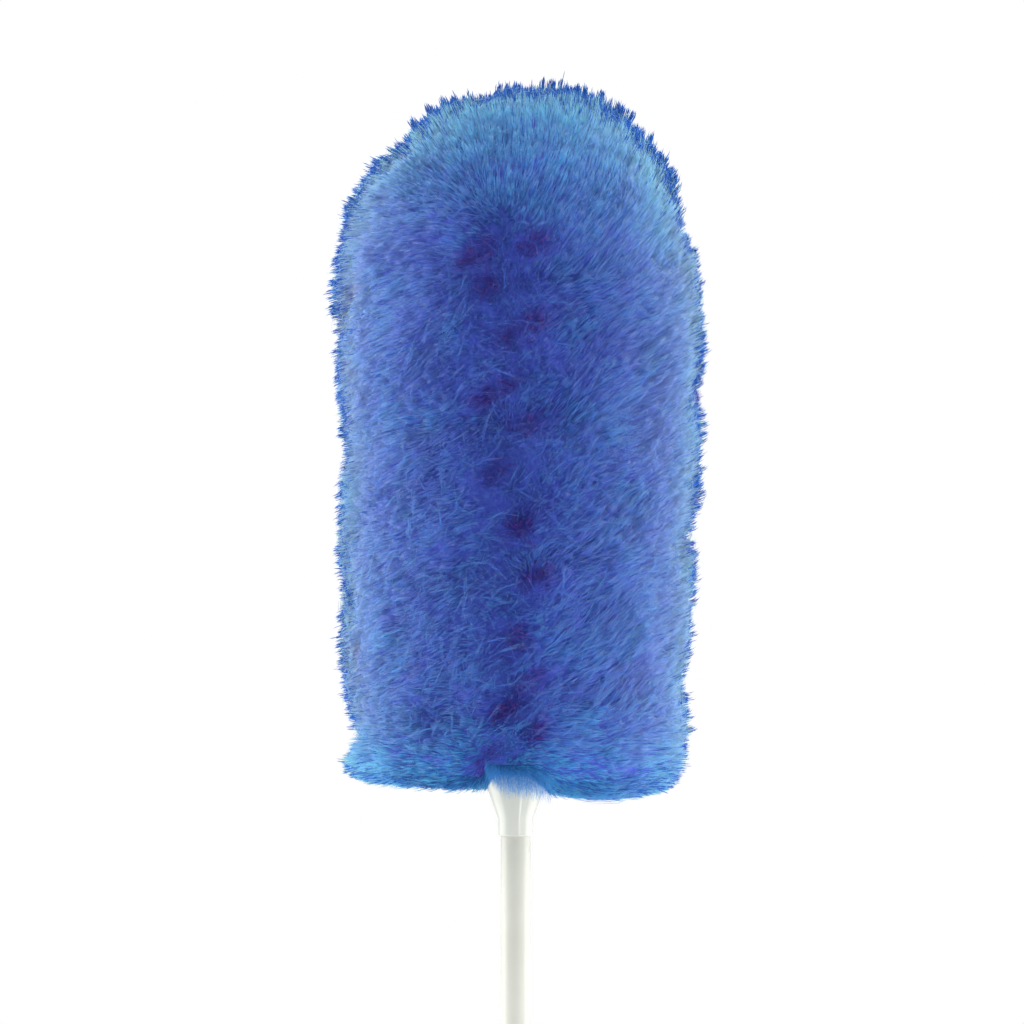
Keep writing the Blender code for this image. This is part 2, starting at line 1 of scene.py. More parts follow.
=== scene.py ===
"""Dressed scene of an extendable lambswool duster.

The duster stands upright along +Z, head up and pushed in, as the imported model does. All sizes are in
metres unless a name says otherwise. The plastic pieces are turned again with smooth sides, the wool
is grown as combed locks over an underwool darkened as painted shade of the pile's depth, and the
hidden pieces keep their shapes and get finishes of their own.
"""

import logging
import math
from dataclasses import dataclass
from enum import Enum

import bpy
import numpy as np
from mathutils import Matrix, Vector
from mathutils.bvhtree import BVHTree


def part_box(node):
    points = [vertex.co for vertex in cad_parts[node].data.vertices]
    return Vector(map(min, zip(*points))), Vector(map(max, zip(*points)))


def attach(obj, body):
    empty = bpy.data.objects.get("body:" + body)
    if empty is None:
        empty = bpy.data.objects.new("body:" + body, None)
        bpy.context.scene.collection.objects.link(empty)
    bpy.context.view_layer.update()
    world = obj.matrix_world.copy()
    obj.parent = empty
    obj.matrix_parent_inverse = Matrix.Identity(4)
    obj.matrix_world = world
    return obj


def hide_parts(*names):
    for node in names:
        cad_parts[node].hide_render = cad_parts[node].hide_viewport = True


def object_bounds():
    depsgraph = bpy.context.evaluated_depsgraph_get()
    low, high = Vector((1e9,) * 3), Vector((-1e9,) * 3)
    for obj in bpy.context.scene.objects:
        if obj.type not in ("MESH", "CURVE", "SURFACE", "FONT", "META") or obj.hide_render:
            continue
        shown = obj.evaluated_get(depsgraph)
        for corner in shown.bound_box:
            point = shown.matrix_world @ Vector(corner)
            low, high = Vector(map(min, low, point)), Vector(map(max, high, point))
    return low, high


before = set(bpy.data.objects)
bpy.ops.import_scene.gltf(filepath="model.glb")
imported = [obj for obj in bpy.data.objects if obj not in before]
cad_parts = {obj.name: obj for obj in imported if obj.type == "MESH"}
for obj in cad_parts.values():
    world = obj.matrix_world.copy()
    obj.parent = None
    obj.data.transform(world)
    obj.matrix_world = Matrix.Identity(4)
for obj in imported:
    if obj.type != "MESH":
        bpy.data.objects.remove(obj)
cad_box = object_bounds()

log = logging.getLogger("duster")

MM = 0.001

Pair = tuple[float, float]
Triple = tuple[float, float, float]
Array = np.ndarray
Piece = bpy.types.Object
Material = bpy.types.Material
Socket = bpy.types.NodeSocket


class Body(Enum):
    """The bodies that the scene's own pieces ride on."""

    HANDLE = "handle"
    HEAD = "head"


class Slot(Enum):
    """The record's material slots that the scene's own pieces belong to."""

    PLASTIC = "white_gloss_plastic"
    GRIP = "grip_vinyl"
    WOOL = "dyed_lambswool"


# Nodes and materials


def linear(colour: str) -> tuple[float, float, float, float]:
    """Turns an sRGB hex colour into linear RGBA.

    Args:
        colour: Six hex digits after a hash, such as "#3355AA".

    Returns:
        The linear red, green, blue and an alpha of one.
    """
    shares = [int(colour[i : i + 2], 16) / 255 for i in (1, 3, 5)]
    rgb = [c / 12.92 if c <= 0.04045 else ((c + 0.055) / 1.055) ** 2.4 for c in shares]
    return (rgb[0], rgb[1], rgb[2], 1.0)


def fill(tree: bpy.types.NodeTree, node: bpy.types.Node, inputs: dict) -> None:
    """Gives a node its input values and its links.

    Args:
        tree: The node's tree.
        node: The node.
        inputs: Values or output sockets by input name or number.
    """
    for key, value in inputs.items():
        if isinstance(value, Socket):
            tree.links.new(value, node.inputs[key])
        else:
            node.inputs[key].default_value = value


def add_node(
    tree: bpy.types.NodeTree,
    kind: str,
    inputs: dict | None = None,
    stops: list[tuple[float, str]] | None = None,
    **settings: object,
) -> bpy.types.Node:
    """Adds one node with its settings, its input values and its links.

    Args:
        tree: The node tree to add to.
        kind: The node's type name without the leading "ShaderNode".
        inputs: Values or output sockets by input name or number.
        stops: Places and hex colours of a colour ramp.
        settings: Properties to set on the node.

    Returns:
        The new node.
    """
    made = tree.nodes.new("ShaderNode" + kind)
    for name, value in settings.items():
        setattr(made, name, value)
    fill(tree, made, inputs or {})
    if stops:
        ramp = made.color_ramp
        while len(ramp.elements) < len(stops):
            ramp.elements.new(1.0)
        for element, (place, colour) in zip(ramp.elements, stops):
            element.position = place
            element.color = linear(colour)
    return made


class Shading:
    """A node material in the making, whose pattern sizes are in millimetres."""

    def __init__(self, name: str) -> None:
        """Starts a material with a plain Principled shader.

        Args:
            name: The finish in plain words.
        """
        self.material = bpy.data.materials.new(name)
        self.material.use_nodes = True
        self.tree = self.material.node_tree

    def add(self, kind: str, inputs: dict, **settings: object) -> Socket:
        """Adds a node and gives its first output."""
        return add_node(self.tree, kind, inputs, **settings).outputs[0]

    def coords(self) -> Socket:
        """Gives the object's own coordinates."""
        return add_node(self.tree, "TexCoord").outputs["Object"]

    def noise(self, place: Socket, size: float, detail: float) -> Socket:
        """Adds a noise with patches of about the given size."""
        return self.add("TexNoise", {"Vector": place, "Scale": 1 / (size * MM), "Detail": detail})

    def ramp(self, value: Socket, *stops: tuple[float, str]) -> Socket:
        """Turns a value into a colour, by stops that each have a place and a hex colour."""
        return self.add("ValToRGB", {0: value}, stops=list(stops))

    def spread(self, value: Socket, source: Pair, target: Pair = (0.0, 1.0)) -> Socket:
        """Maps a value from one range to another."""
        return self.add("MapRange", dict(enumerate((value, *source, *target))))

    def blend(self, share: Socket, first: Socket, second: Socket) -> Socket:
        """Mixes two colours."""
        mix = add_node(self.tree, "Mix", {0: share, 6: first, 7: second}, data_type="RGBA")
        return mix.outputs[2]

    def bump(self, height: Socket, depth: float, strength: float) -> Socket:
        """Turns a height into a bump of the given depth."""
        return self.add("Bump", {"Height": height, "Distance": depth * MM, "Strength": strength})

    def put(self, inputs: dict) -> Material:
        """Gives the shader its values and links, and returns the material."""
        fill(self.tree, self.tree.nodes["Principled BSDF"], inputs)
        return self.material


@dataclass(frozen=True)
class WoolFinish:
    """Acid-dyed lambswool fibre: matt and silky, darker towards the root as painted shade of the pile's
    depth.

    The eye sees a soft periwinkle along the fibres where they lie side on to it, a deep indigo, partly
    painted shade, where it looks down between them, and a saturated blue line along the outline,
    which the guard hairs' darker ends paint as shade.
    """

    name: str = "acid-dyed lambswool fibre"
    # Colours painted into the wool's creases as their shade.
    crease: tuple[str, ...] = ("#381E88", "#3A2088", "#3C228A", "#3E248C", "#40268E")
    # Each ramp runs from the root to the tip; its darker root end is painted shade of the pile's depth.
    deep: tuple[str, ...] = ("#3024BC", "#3228BC", "#3436BC", "#3842BE", "#3A4CC0")
    pale: tuple[str, ...] = ("#2840D0", "#2C58D6", "#2A7EDC", "#2E98E6", "#36A8E8")
    places: tuple[float, ...] = (0.0, 0.45, 0.65, 0.84, 1.0)
    roughness: float = 0.62
    sheen: float = 1.0
    sheen_spread: float = 0.49
    sheen_tint: str = "#C5F5D5"
    scatter: float = 1.0
    scatter_mm: Triple = (0.16, 0.18, 0.22)

    def material(self) -> Material:
        """Builds the fibre material, which reads only the strands' own tone and length map."""
        made = Shading(self.name)
        place = made.add("UVMap", {}, uv_map="OFBake")
        tone, along, _ = add_node(made.tree, "SeparateXYZ", {0: place}).outputs
        crease, deep, pale = [
            made.ramp(along, *zip(self.places, tones))
            for tones in (self.crease, self.deep, self.pale)
        ]
        # The lowest tones blend towards the crease colours, which are painted shade.
        colour = made.blend(made.spread(tone, (0.08, 0.20)), crease, deep)
        colour = made.blend(made.spread(tone, (0.20, 1.0)), colour, pale)
        return made.put(
            {
                "Base Color": colour,
                "Roughness": self.roughness,
                "Sheen Weight": self.sheen,
                "Sheen Roughness": self.sheen_spread,
                "Sheen Tint": linear(self.sheen_tint),
                "Specular IOR Level": 0.0,
                "Subsurface Weight": self.scatter,
                "Subsurface Radius": self.scatter_mm,
                "Subsurface Scale": 1.0 * MM,
            }
        )


@dataclass(frozen=True)
class UnderwoolFinish:
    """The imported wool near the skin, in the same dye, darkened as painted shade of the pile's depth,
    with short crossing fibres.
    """

    name: str = "packed dyed underwool"
    dark: str = "#3846B8"
    light: str = "#4256C8"
    clump_mm: float = 3.2

    def material(self) -> Material:
        """Builds the underwool material."""
        made = Shading(self.name)
        clumps = made.noise(made.coords(), self.clump_mm, 4.0)
        return made.put(
            {
                "Base Color": made.ramp(clumps, (0.35, self.dark), (0.7, self.light)),
                "Normal": made.bump(clumps, 0.6, 0.8),
                "Roughness": 0.9,
            }
        )


@dataclass(frozen=True)
class PlasticFinish:
    """Moulded or drawn plastic.

    The eye sees one even colour that wanders a little, a gloss that is never quite uniform, and
    the faint ripple of the mould or, where it is stretched, the fine draw lines of a tube.
    """

    name: str
    colour: str
    shade: str
    roughness: float
    wander_mm: float = 22.0
    grain_mm: float = 1.2
    grain_depth_mm: float = 0.02
    stretch: float = 1.0

    def material(self) -> Material:
        """Builds the plastic: a slow wander of colour and gloss, over a faint surface ripple."""
        made = Shading(self.name)
        place = made.coords()
        slow = made.noise(place, self.wander_mm, 3.0)
        drawn = made.add("Mapping", {"Vector": place, "Scale": (1, 1, 1 / self.stretch)})
        gloss = (self.roughness * 0.85, self.roughness * 1.2)
        return made.put(
            {
                "Base Color": made.ramp(slow, (0.3, self.shade), (0.7, self.colour)),
                "Roughness": made.spread(slow, (0.3, 0.7), gloss),
                "Normal": made.bump(made.noise(drawn, self.grain_mm, 4.0), self.grain_depth_mm, 0.6),
            }
        )


@dataclass(frozen=True)
class ZincFinish:
    """Steel with a bright zinc plate: a grey-white metal, clouded where the plate is thicker."""

    name: str = "bright zinc plated steel"
    bright: str = "#D2D6DC"
    dull: str = "#A9AEB6"
    cloud_mm: float = 2.5
    roughness: float = 0.32

    def material(self) -> Material:
        """Builds the plated metal."""
        made = Shading(self.name)
        cloud = made.noise(made.coords(), self.cloud_mm, 5.0)
        gloss = (self.roughness * 1.3, self.roughness * 0.8)
        return made.put(
            {
                "Base Color": made.ramp(cloud, (0.35, self.dull), (0.65, self.bright)),
                "Roughness": made.spread(cloud, (0.3, 0.7), gloss),
                "Metallic": 1.0,
            }
        )


@dataclass(frozen=True)
class PeltFinish:
    """Tanned sheepskin, dyed through: matt suede with pores and a patchy take-up of the dye."""

    name: str = "tanned and dyed sheepskin"
    dark: str = "#263A86"
    light: str = "#4660B2"
    patch_mm: float = 7.0
    pore_mm: float = 0.9

    def material(self) -> Material:
        """Builds the skin."""
        made = Shading(self.name)
        place = made.coords()
        patch = made.noise(place, self.patch_mm, 6.0)
        pores = made.add("TexVoronoi", {"Vector": place, "Scale": 1 / (self.pore_mm * MM)})
        return made.put(
            {
                "Base Color": made.ramp(patch, (0.32, self.dark), (0.68, self.light)),
                "Normal": made.bump(pores, 0.15, 0.7),
                "Roughness": 0.88,
                "Sheen Weight": 0.2,
            }
        )


# The guard hairs' ends are darker: painted shade along the outline.
TIP_SHADE_FINISH = WoolFinish(
    "guard hair ends with painted outline shade",
    deep=("#3038B8", "#2E44B8", "#2C54B8", "#2852B0", "#2046A0"),
    pale=("#3442C0", "#3252C2", "#3066C4", "#2A5EBA", "#244EAA"),
    sheen=0.0,
)
HAZE_FINISH = WoolFinish(
    "single lambswool fibres against the light",
    deep=("#285CB0", "#285CB0", "#2A60B4", "#2E64B8", "#3068BA"),
    pale=("#4082C8", "#4082C8", "#4488CE", "#4A90D2", "#5098D8"),
    sheen=0.0,
    scatter=0.0,
)
WHITE = PlasticFinish(
    "injection moulded white styrene", "#C0C2BF", "#BBBDB9", 0.14, grain_mm=3.0, grain_depth_mm=0.004
)
TUBE_WHITE = PlasticFinish(
    "extruded white styrene tube",
    "#BCBDB7",
    "#B7B8B1",
    0.36,
    grain_mm=0.7,
    grain_depth_mm=0.010,
    stretch=60.0,
)
HANDLE_WHITE = PlasticFinish(
    "injection moulded off-white styrene",
    "#B6B8B4",
    "#AFB1AC",
    0.22,
    grain_mm=3.0,
    grain_depth_mm=0.004,
)
GRIP_VINYL = PlasticFinish(
    "pale grey vinyl with a fine grain",
    "#9A9D9B",
    "#8E918F",
    0.55,
    wander_mm=14.0,
    grain_mm=0.7,
    grain_depth_mm=0.08,
)
NYLON = PlasticFinish(
    "natural moulded nylon", "#DCD8C4", "#CFCAB4", 0.42, wander_mm=5.0, grain_mm=0.5
)
CORE_GREY = PlasticFinish(
    "grey reground core plastic", "#8B8E90", "#76797C", 0.50, wander_mm=9.0, grain_mm=0.8
)


# Modelling

SIDES = 96
CORNER_SHARE = 0.29


def only(piece: Piece) -> None:
    """Selects one piece alone and makes it active."""
    bpy.ops.object.select_all(action="DESELECT")
    piece.select_set(True)
    bpy.context.view_layer.objects.active = piece


def finish_with(piece: Piece, kind: str, **settings: object) -> None:
    """Adds a modifier to a piece and applies it.

    Args:
        piece: The piece.
        kind: The modifier's type.
        settings: Its settings.
    """
    only(piece)
    added = piece.modifiers.new(kind.title(), kind)
    for name, value in settings.items():
        setattr(added, name, value)
    bpy.ops.object.modifier_apply(modifier=added.name)


def add_mesh(kind: str, **settings: object) -> Piece:
    """Adds a plain mesh and applies its place, turn and scale.

    Args:
        kind: The shape's name.
        settings: Its sizes and its place.

    Returns:
        The new piece.
    """
    bpy.ops.object.select_all(action="DESELECT")
    getattr(bpy.ops.mesh, f"primitive_{kind}_add")(**settings)
    bpy.ops.object.transform_apply(location=True, rotation=True, scale=True)
    return bpy.context.active_object


def turn(name: str, outline: list[Pair], base: float, closed: bool = True) -> Piece:
    """Turns an outline round the axis: a circle is drawn out into one ring after another.

    Args:
        name: The piece's name.
        outline: The radius and the height of each corner.
        base: The height that the outline's heights are counted from.
        closed: Whether the outline ends where it starts. If not, both its ends are flat discs.

    Returns:
        The turned piece.
    """
    radius, height = outline[0]
    place = (0, 0, base + height)
    piece = add_mesh("circle", vertices=SIDES, radius=radius, fill_type="NOTHING", location=place)
    piece.name = piece.data.name = name
    bpy.ops.object.mode_set(mode="EDIT")
    bpy.ops.mesh.select_mode(type="VERT")
    bpy.ops.mesh.select_all(action="SELECT")
    for wide, high in outline[1:] + (outline[:1] if closed else []):
        bpy.ops.mesh.extrude_region_move(TRANSFORM_OT_translate={"value": (0, 0, high - height)})
        scale = wide / radius
        bpy.ops.transform.resize(value=(scale, scale, 1), center_override=(0, 0, base + high))
        radius, height = wide, high
    if not closed:
        bpy.ops.mesh.edge_face_add()
        bpy.ops.object.mode_set(mode="OBJECT")
        for number, vertex in enumerate(piece.data.vertices):
            vertex.select = number < SIDES
        bpy.ops.object.mode_set(mode="EDIT")
        bpy.ops.mesh.select_mode(type="VERT")
        bpy.ops.mesh.edge_face_add()
    bpy.ops.mesh.select_all(action="SELECT")
    bpy.ops.mesh.remove_doubles(threshold=0.000001)
    bpy.ops.mesh.normals_make_consistent(inside=False)
    bpy.ops.object.mode_set(mode="OBJECT")
    return piece


def tube(name: str, radius: float, bore: float, base: float, top: float) -> Piece:
    """Turns a plain tube between two heights."""
    length = top - base
    return turn(name, [(radius, length), (radius, 0.0), (bore, 0.0), (bore, length)], base)


def corner(radius: float, height: float, edge: float) -> list[Pair]:
    """Gives the three points of an outline's broken upper corner."""
    inner = edge * CORNER_SHARE
    return [(radius - edge, height), (radius - inner, height - inner), (radius, height - edge)]


def cut(piece: Piece, cutter: Piece) -> None:
    """Takes one solid out of another, and removes it."""
    finish_with(piece, "BOOLEAN", object=cutter, operation="DIFFERENCE", solver="EXACT")
    bpy.data.objects.remove(cutter, do_unlink=True)


def cross_rod(radius: float, length: float, height: float) -> Piece:
    """Makes a level rod along Y that drills a cross hole.

    Args:
        radius: Its radius.
        length: Its length.
        height: Where its centre lies.

    Returns:
        The rod.
    """
    shape = {"vertices": 48, "radius": radius, "depth": length, "location": (0, 0, height)}
    return add_mesh("cylinder", **shape, rotation=(math.pi / 2, 0, 0))


def round_edges(piece: Piece, width: float, segments: int = 2) -> None:
    """Rounds the sharp edges of a piece and shades it smooth.

    Args:
        piece: The piece.
        width: How far the rounding reaches from the edge.
        segments: How many faces make the rounding.
    """
    sizes = {"width": width, "segments": segments, "angle_limit": math.radians(24)}
    finish_with(piece, "BEVEL", **sizes, limit_method="ANGLE", use_clamp_overlap=True)
    only(piece)
    bpy.ops.object.shade_smooth_by_angle(angle=math.radians(32))


def fit(piece: Piece, node: str, body: Body, look: Material) -> None:
    """Puts a finished piece in the place of a packed one.

    Args:
        piece: The finished piece.
        node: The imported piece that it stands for.
        body: The body that it rides on.
        look: Its finish.
    """
    piece.data.materials.clear()
    piece.data.materials.append(look)
    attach(piece, body.value)
    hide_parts(node)
    log.info("%s: %d faces", node, len(piece.data.polygons))


def dress(nodes: list[str], look: Material) -> None:
    """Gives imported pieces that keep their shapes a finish.

    Args:
        nodes: The pieces' names.
        look: The finish.
    """
    for name in nodes:
        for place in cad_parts[name].material_slots:
            place.material = look
        log.info("%s: dressed", name)


# The handle


@dataclass
class Handle:
    """The outer tube with its mouth collar, ribbed grip and hanging cap."""

    tube_r: float = 0.01025
    tube_bore_r: float = 0.0090
    tube_top: float = 0.3213
    sleeve_bore_r: float = 0.01055
    grip_base: float = -0.0650
    grip_length: float = 0.130
    grip_r: float = 0.01265
    grip_edge: float = 0.0008
    rib_height: float = 0.0009
    rib_width: float = 0.0060
    rib_pitch: float = 0.0120
    plain_end: float = 0.011
    mouth_r: float = 0.01235
    mouth_top: float = 0.3236
    mouth_length: float = 0.030
    mouth_chamfer: float = 0.0012
    web: float = 0.0020
    guide_r: float = 0.0087
    guide_bore_r: float = 0.0078
    guide_length: float = 0.024
    cap_base: float = -0.0893
    cap_length: float = 0.0240
    cap_flange: float = 0.0030
    cap_butt_r: float = 0.0100
    cap_edge: float = 0.0010
    cap_plug_r: float = 0.0087
    cap_plug_wall: float = 0.0020
    cap_plug_length: float = 0.0180
    tab_thickness: float = 0.0120
    hole_r: float = 0.0045
    hole_height: float = 0.0105
    overcut: float = 0.0003

    def make_tube(self) -> Piece:
        """Turns the outer tube."""
        sizes = (self.tube_r, self.tube_bore_r, self.grip_base, self.tube_top)
        piece = tube("outer_tube_drawn", *sizes)
        round_edges(piece, 0.00025)
        return piece

    def make_mouth(self) -> Piece:
        """Turns the collar over the tube's mouth, with its guide sleeve."""
        top = self.mouth_length
        web = top - self.web
        low = web - self.guide_length
        outline = corner(self.mouth_r, top, self.mouth_chamfer)
        outline += [
            (self.mouth_r, 0.0),
            (self.sleeve_bore_r, 0.0),
            (self.sleeve_bore_r, web),
            (self.guide_r, web),
            (self.guide_r, low),
            (self.guide_bore_r, low),
            (self.guide_bore_r, top),
        ]
        piece = turn("mouth_collar_moulded", outline, self.mouth_top - self.mouth_length)
        round_edges(piece, 0.00025)
        return piece

    def make_grip(self) -> Piece:
        """Turns the ribbed grip."""
        ribs = int((self.grip_length - 2 * self.plain_end) / self.rib_pitch)
        first = (self.grip_length - (ribs - 1) * self.rib_pitch) / 2
        bore, wide, rise = self.sleeve_bore_r, self.grip_r, self.rib_height
        outline = [(bore, self.grip_length), (bore, 0.0), (wide, 0.0)]
        for rib in range(ribs):
            low = first + rib * self.rib_pitch - self.rib_width / 2
            high = first + rib * self.rib_pitch + self.rib_width / 2
            outline += [(wide, low), (wide + rise, low + rise), (wide + rise, high - rise), (wide, high)]
        outline += [(wide, self.grip_length - self.grip_edge), (wide - self.grip_edge, self.grip_length)]
        piece = turn("hand_grip_ribbed", outline, self.grip_base)
        round_edges(piece, 0.0005, 3)
        return piece

    def make_cap(self) -> Piece:
        """Turns the cap, flattens its tab on two sides and drills the hanging hole."""
        length, edge, deep = self.cap_length, self.cap_edge, self.grip_r
        inner = edge * CORNER_SHARE
        tall = length - self.cap_flange
        outline = [
            (self.cap_plug_r - self.cap_plug_wall, tall),
            (self.cap_plug_r - self.cap_plug_wall, length + self.cap_plug_length),
            (self.cap_plug_r, length + self.cap_plug_length),
            (self.cap_plug_r, length),
            *corner(self.grip_r, length, edge),
            (self.grip_r, tall),
            (self.cap_butt_r, edge),
            (self.cap_butt_r - inner, inner),
            (self.cap_butt_r - edge, 0.0),
        ]
        piece = turn("end_cap_moulded", outline, self.cap_base, closed=False)
        size = (3 * deep, deep, tall + 2 * self.overcut)
        height = self.cap_base + tall / 2 - self.overcut
        for side in (1, -1):
            place = (0, side * (self.tab_thickness / 2 + deep / 2), height)
            cut(piece, add_mesh("cube", size=1.0, location=place, scale=size))
        cut(piece, cross_rod(self.hole_r, 4 * deep, self.cap_base + self.hole_height))
        round_edges(piece, 0.0004)
        return piece

    def build(self) -> None:
        """Builds and dresses the handle's four pieces."""
        white, drawn, vinyl = [f.material() for f in (HANDLE_WHITE, TUBE_WHITE, GRIP_VINYL)]
        fit(self.make_tube(), "outer_tube", Body.HANDLE, drawn)
        fit(self.make_mouth(), "mouth_collar", Body.HANDLE, white)
        fit(self.make_grip(), "hand_grip", Body.HANDLE, vinyl)
        fit(self.make_cap(), "end_cap", Body.HANDLE, white)


# The stem


@dataclass
class Stem:
    """The inner tube, the cone that carries the head, and all that is hidden in them."""

    tube_r: float = 0.0075
    tube_bore_r: float = 0.0063
    tube_base: float = -0.0301
    tube_top: float = 0.4653
    pin_hole_r: float = 0.0015
    pin_height: float = 0.0090
    collar_base: float = 0.4336
    collar_r: float = 0.0089
    collar_height: float = 0.0087
    collar_edge: float = 0.0004
    rim_r: float = 0.0170
    rim_height: float = 0.031574
    rim_wall: float = 0.001697
    socket_r: float = 0.0078
    socket_depth: float = 0.032
    end_wall: float = 0.003
    spigot_r: float = 0.0094
    spigot_top: float = 0.050835
    ledge_r: float = 0.0115
    ledge: float = 0.020835

    def make_tube(self) -> Piece:
        """Turns the inner tube and drills its pin hole."""
        sizes = (self.tube_r, self.tube_bore_r, self.tube_base, self.tube_top)
        piece = tube("inner_tube_drawn", *sizes)
        cut(piece, cross_rod(self.pin_hole_r, 4 * self.tube_r, self.tube_base + self.pin_height))
        round_edges(piece, 0.0002)
        return piece

    def make_cone(self) -> Piece:
        """Turns the cone with its collar, socket, dividing wall and spigot."""
        outline = [
            (self.socket_r, self.socket_depth + self.end_wall),
            (self.socket_r, self.spigot_top),
            (self.spigot_r, self.spigot_top),
            (self.spigot_r, self.ledge),
            (self.ledge_r, self.ledge),
            (self.rim_r - self.rim_wall, self.rim_height),
            (self.rim_r, self.rim_height),
            (self.collar_r, self.collar_height),
            (self.collar_r, self.collar_edge),
            (self.collar_r - self.collar_edge, 0.0),
            (self.socket_r, 0.0),
            (self.socket_r, self.socket_depth),
        ]
        piece = turn("cone_ferrule_moulded", outline, self.collar_base, closed=False)
        round_edges(piece, 0.0003)
        return piece

    def build(self) -> None:
        """Builds the tube and the cone, and dresses the hidden pieces."""
        fit(self.make_tube(), "inner_tube", Body.HEAD, TUBE_WHITE.material())
        fit(self.make_cone(), "cone_ferrule", Body.HEAD, WHITE.material())
        tacks = [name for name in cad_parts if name.startswith("pelt_tack")]
        dress(["cam_ring", "cam_spindle"], NYLON.material())
        dress(["spindle_pin", "tip_disc", "tip_screw", *tacks], ZincFinish().material())
        dress(["core_tube", "core_plug"], CORE_GREY.material())
        dress(["pelt_strip"], PeltFinish().material())


# The wool


def ramp(value: Array, start: float, span: float) -> Array:
    """Rises from 0 at the start to 1 one span further on. A negative span makes it fall."""
    return np.clip((value - start) / span, 0, 1)


def hill(value: Array, middle: float, width: float | Array) -> Array:
    """Stands at 1 in the middle and dies away on both sides of it."""
    return np.exp(-(((value - middle) / width) ** 2))


def slope(way: Array) -> tuple[Array, Array]:
    """Gives each direction's level share, from 0 to 1, and its rise in radians."""
    return np.sqrt(np.clip(1 - way[:, 2] ** 2, 0, 1)), np.arcsin(np.clip(way[:, 2], -1, 1))


@dataclass
class Strands:
    """A batch of fibres, each a closed spindle: it swells from its root and tapers to its tip.

    Each fibre has a root, one or more belly rings and a tip. The fibres are shaded by the wool's
    own outward direction, as hairs too fine to see one by one are.
    """

    line: Array
    half: Array
    tone: Array
    row: Array
    soft: Array
    share: tuple[float, ...]

    def faces_each(self) -> int:
        """The faces of one fibre."""
        return 6 * (len(self.share) - 2)

    def pick(self, chosen: Array) -> "Strands":
        """The chosen fibres alone."""
        kept = [part[chosen] for part in (self.line, self.half, self.tone, self.row, self.soft)]
        return Strands(*kept, self.share)

    def shape(self) -> Array:
        """Places the corners of every fibre: its rings, then its root and its tip.

        Returns:
            Places by fibre, corner and axis.
        """
        skew, golden_turn = np.array([0.31, 0.55, 0.77]), 2.399
        along = self.line[:, 2:] - self.line[:, :-2]
        along /= np.linalg.norm(along, axis=2, keepdims=True)
        across = np.cross(along, skew)
        across /= np.linalg.norm(across, axis=2, keepdims=True)
        over = np.cross(along, across)
        spin = (np.arange(len(self.line)) * golden_turn)[:, None] % math.tau
        corners = []
        for number in range(3):
            angle = (spin + number * math.tau / 3)[..., None]
            off = across * np.cos(angle) + over * np.sin(angle)
            corners.append(self.line[:, 1:-1] + off * self.half[:, None, None])
        rings = np.stack(corners, axis=2).reshape(len(self.line), -1, 3)
        return np.concatenate([rings, self.line[:, :1], self.line[:, -1:]], axis=1)

    def weave(self, rings: int) -> tuple[Array, Array]:
        """Lists one fibre's triangles.

        Args:
            rings: How many belly rings the fibre has.

        Returns:
            The corners of each triangle, and for each corner its place round and along the fibre.
        """
        last = rings * 3 - 3
        root, tip = rings * 3, rings * 3 + 1
        faces, spots = [], []
        for c in range(3):
            d = (c + 1) % 3
            faces += [(d, c, root), (last + c, last + d, tip)]
            spots += [(c + 1, 1), (c, 1), (c + 0.5, 0)]
            spots += [(c, rings), (c + 1, rings), (c + 0.5, rings + 1)]
            for ring in range(rings - 1):
                low, high = ring * 3, ring * 3 + 3
                faces += [(low + c, low + d, high + d), (low + c, high + d, high + c)]
                spots += [(c, ring + 1), (c + 1, ring + 1), (c + 1, ring + 2)]
                spots += [(c, ring + 1), (c + 1, ring + 2), (c, ring + 2)]
        return np.array(faces).reshape(1, -1), np.array(spots, float)

    def mesh(self, name: str) -> Piece:
        """Makes one mesh of all the fibres.

        Args:
            name: The piece's name.

        Returns:
            The new object, whose UV map holds each fibre's tone and the place along it.
        """
        count, rings = len(self.line), len(self.share) - 2
        points = self.shape()
        each = points.shape[1]
        faces, spot = self.weave(rings)
        loops = (np.arange(count)[:, None] * each + faces).reshape(-1)
        u = self.tone[:, None] * 0.97 + spot[None, :, 0] / 3 * 0.012 + 0.006
        v = np.interp(spot[:, 1], np.arange(rings + 2), self.share) * 0.98 + 0.01
        v = np.repeat(v[None, :], count, axis=0)
        triangles = len(loops) // 3

        mesh = bpy.data.meshes.new(name)
        mesh.vertices.add(count * each)
        mesh.vertices.foreach_set("co", points.reshape(-1).astype(np.float32))
        mesh.loops.add(len(loops))
        mesh.loops.foreach_set("vertex_index", loops.astype(np.int32))
        mesh.polygons.add(triangles)
        mesh.polygons.foreach_set("loop_start", np.arange(0, len(loops), 3, dtype=np.int32))
        mesh.polygons.foreach_set("loop_total", np.full(triangles, 3, np.int32))
        layer = mesh.uv_layers.new(name="OFBake")
        layer.data.foreach_set("uv", np.stack([u, v], axis=2).reshape(-1).astype(np.float32))
        mesh.update(calc_edges=True)
        mesh.polygons.foreach_set("use_smooth", np.ones(triangles, bool))
        mesh.validate()
        given = mesh.attributes.new("custom_normal", "FLOAT_VECTOR", "POINT")
        soft = np.repeat(self.soft, each, axis=0).reshape(-1)
        given.data.foreach_set("vector", soft.astype(np.float32))
        made = bpy.data.objects.new(name, mesh)
        bpy.context.scene.collection.objects.link(made)
        return made


@dataclass(frozen=True)
class Bulge:
    """A band of the head that stands out from the measured pile, or lies lower where negative.

    It is found along the ray's rise in degrees, the row or the height above the collar's rim. What
    it adds is given for the whole round, and for the right and the left half alone.
    """

    along: str
    middle: float
    width: float
    whole: float = 0.0
    right: float = 0.0
    left: float = 0.0


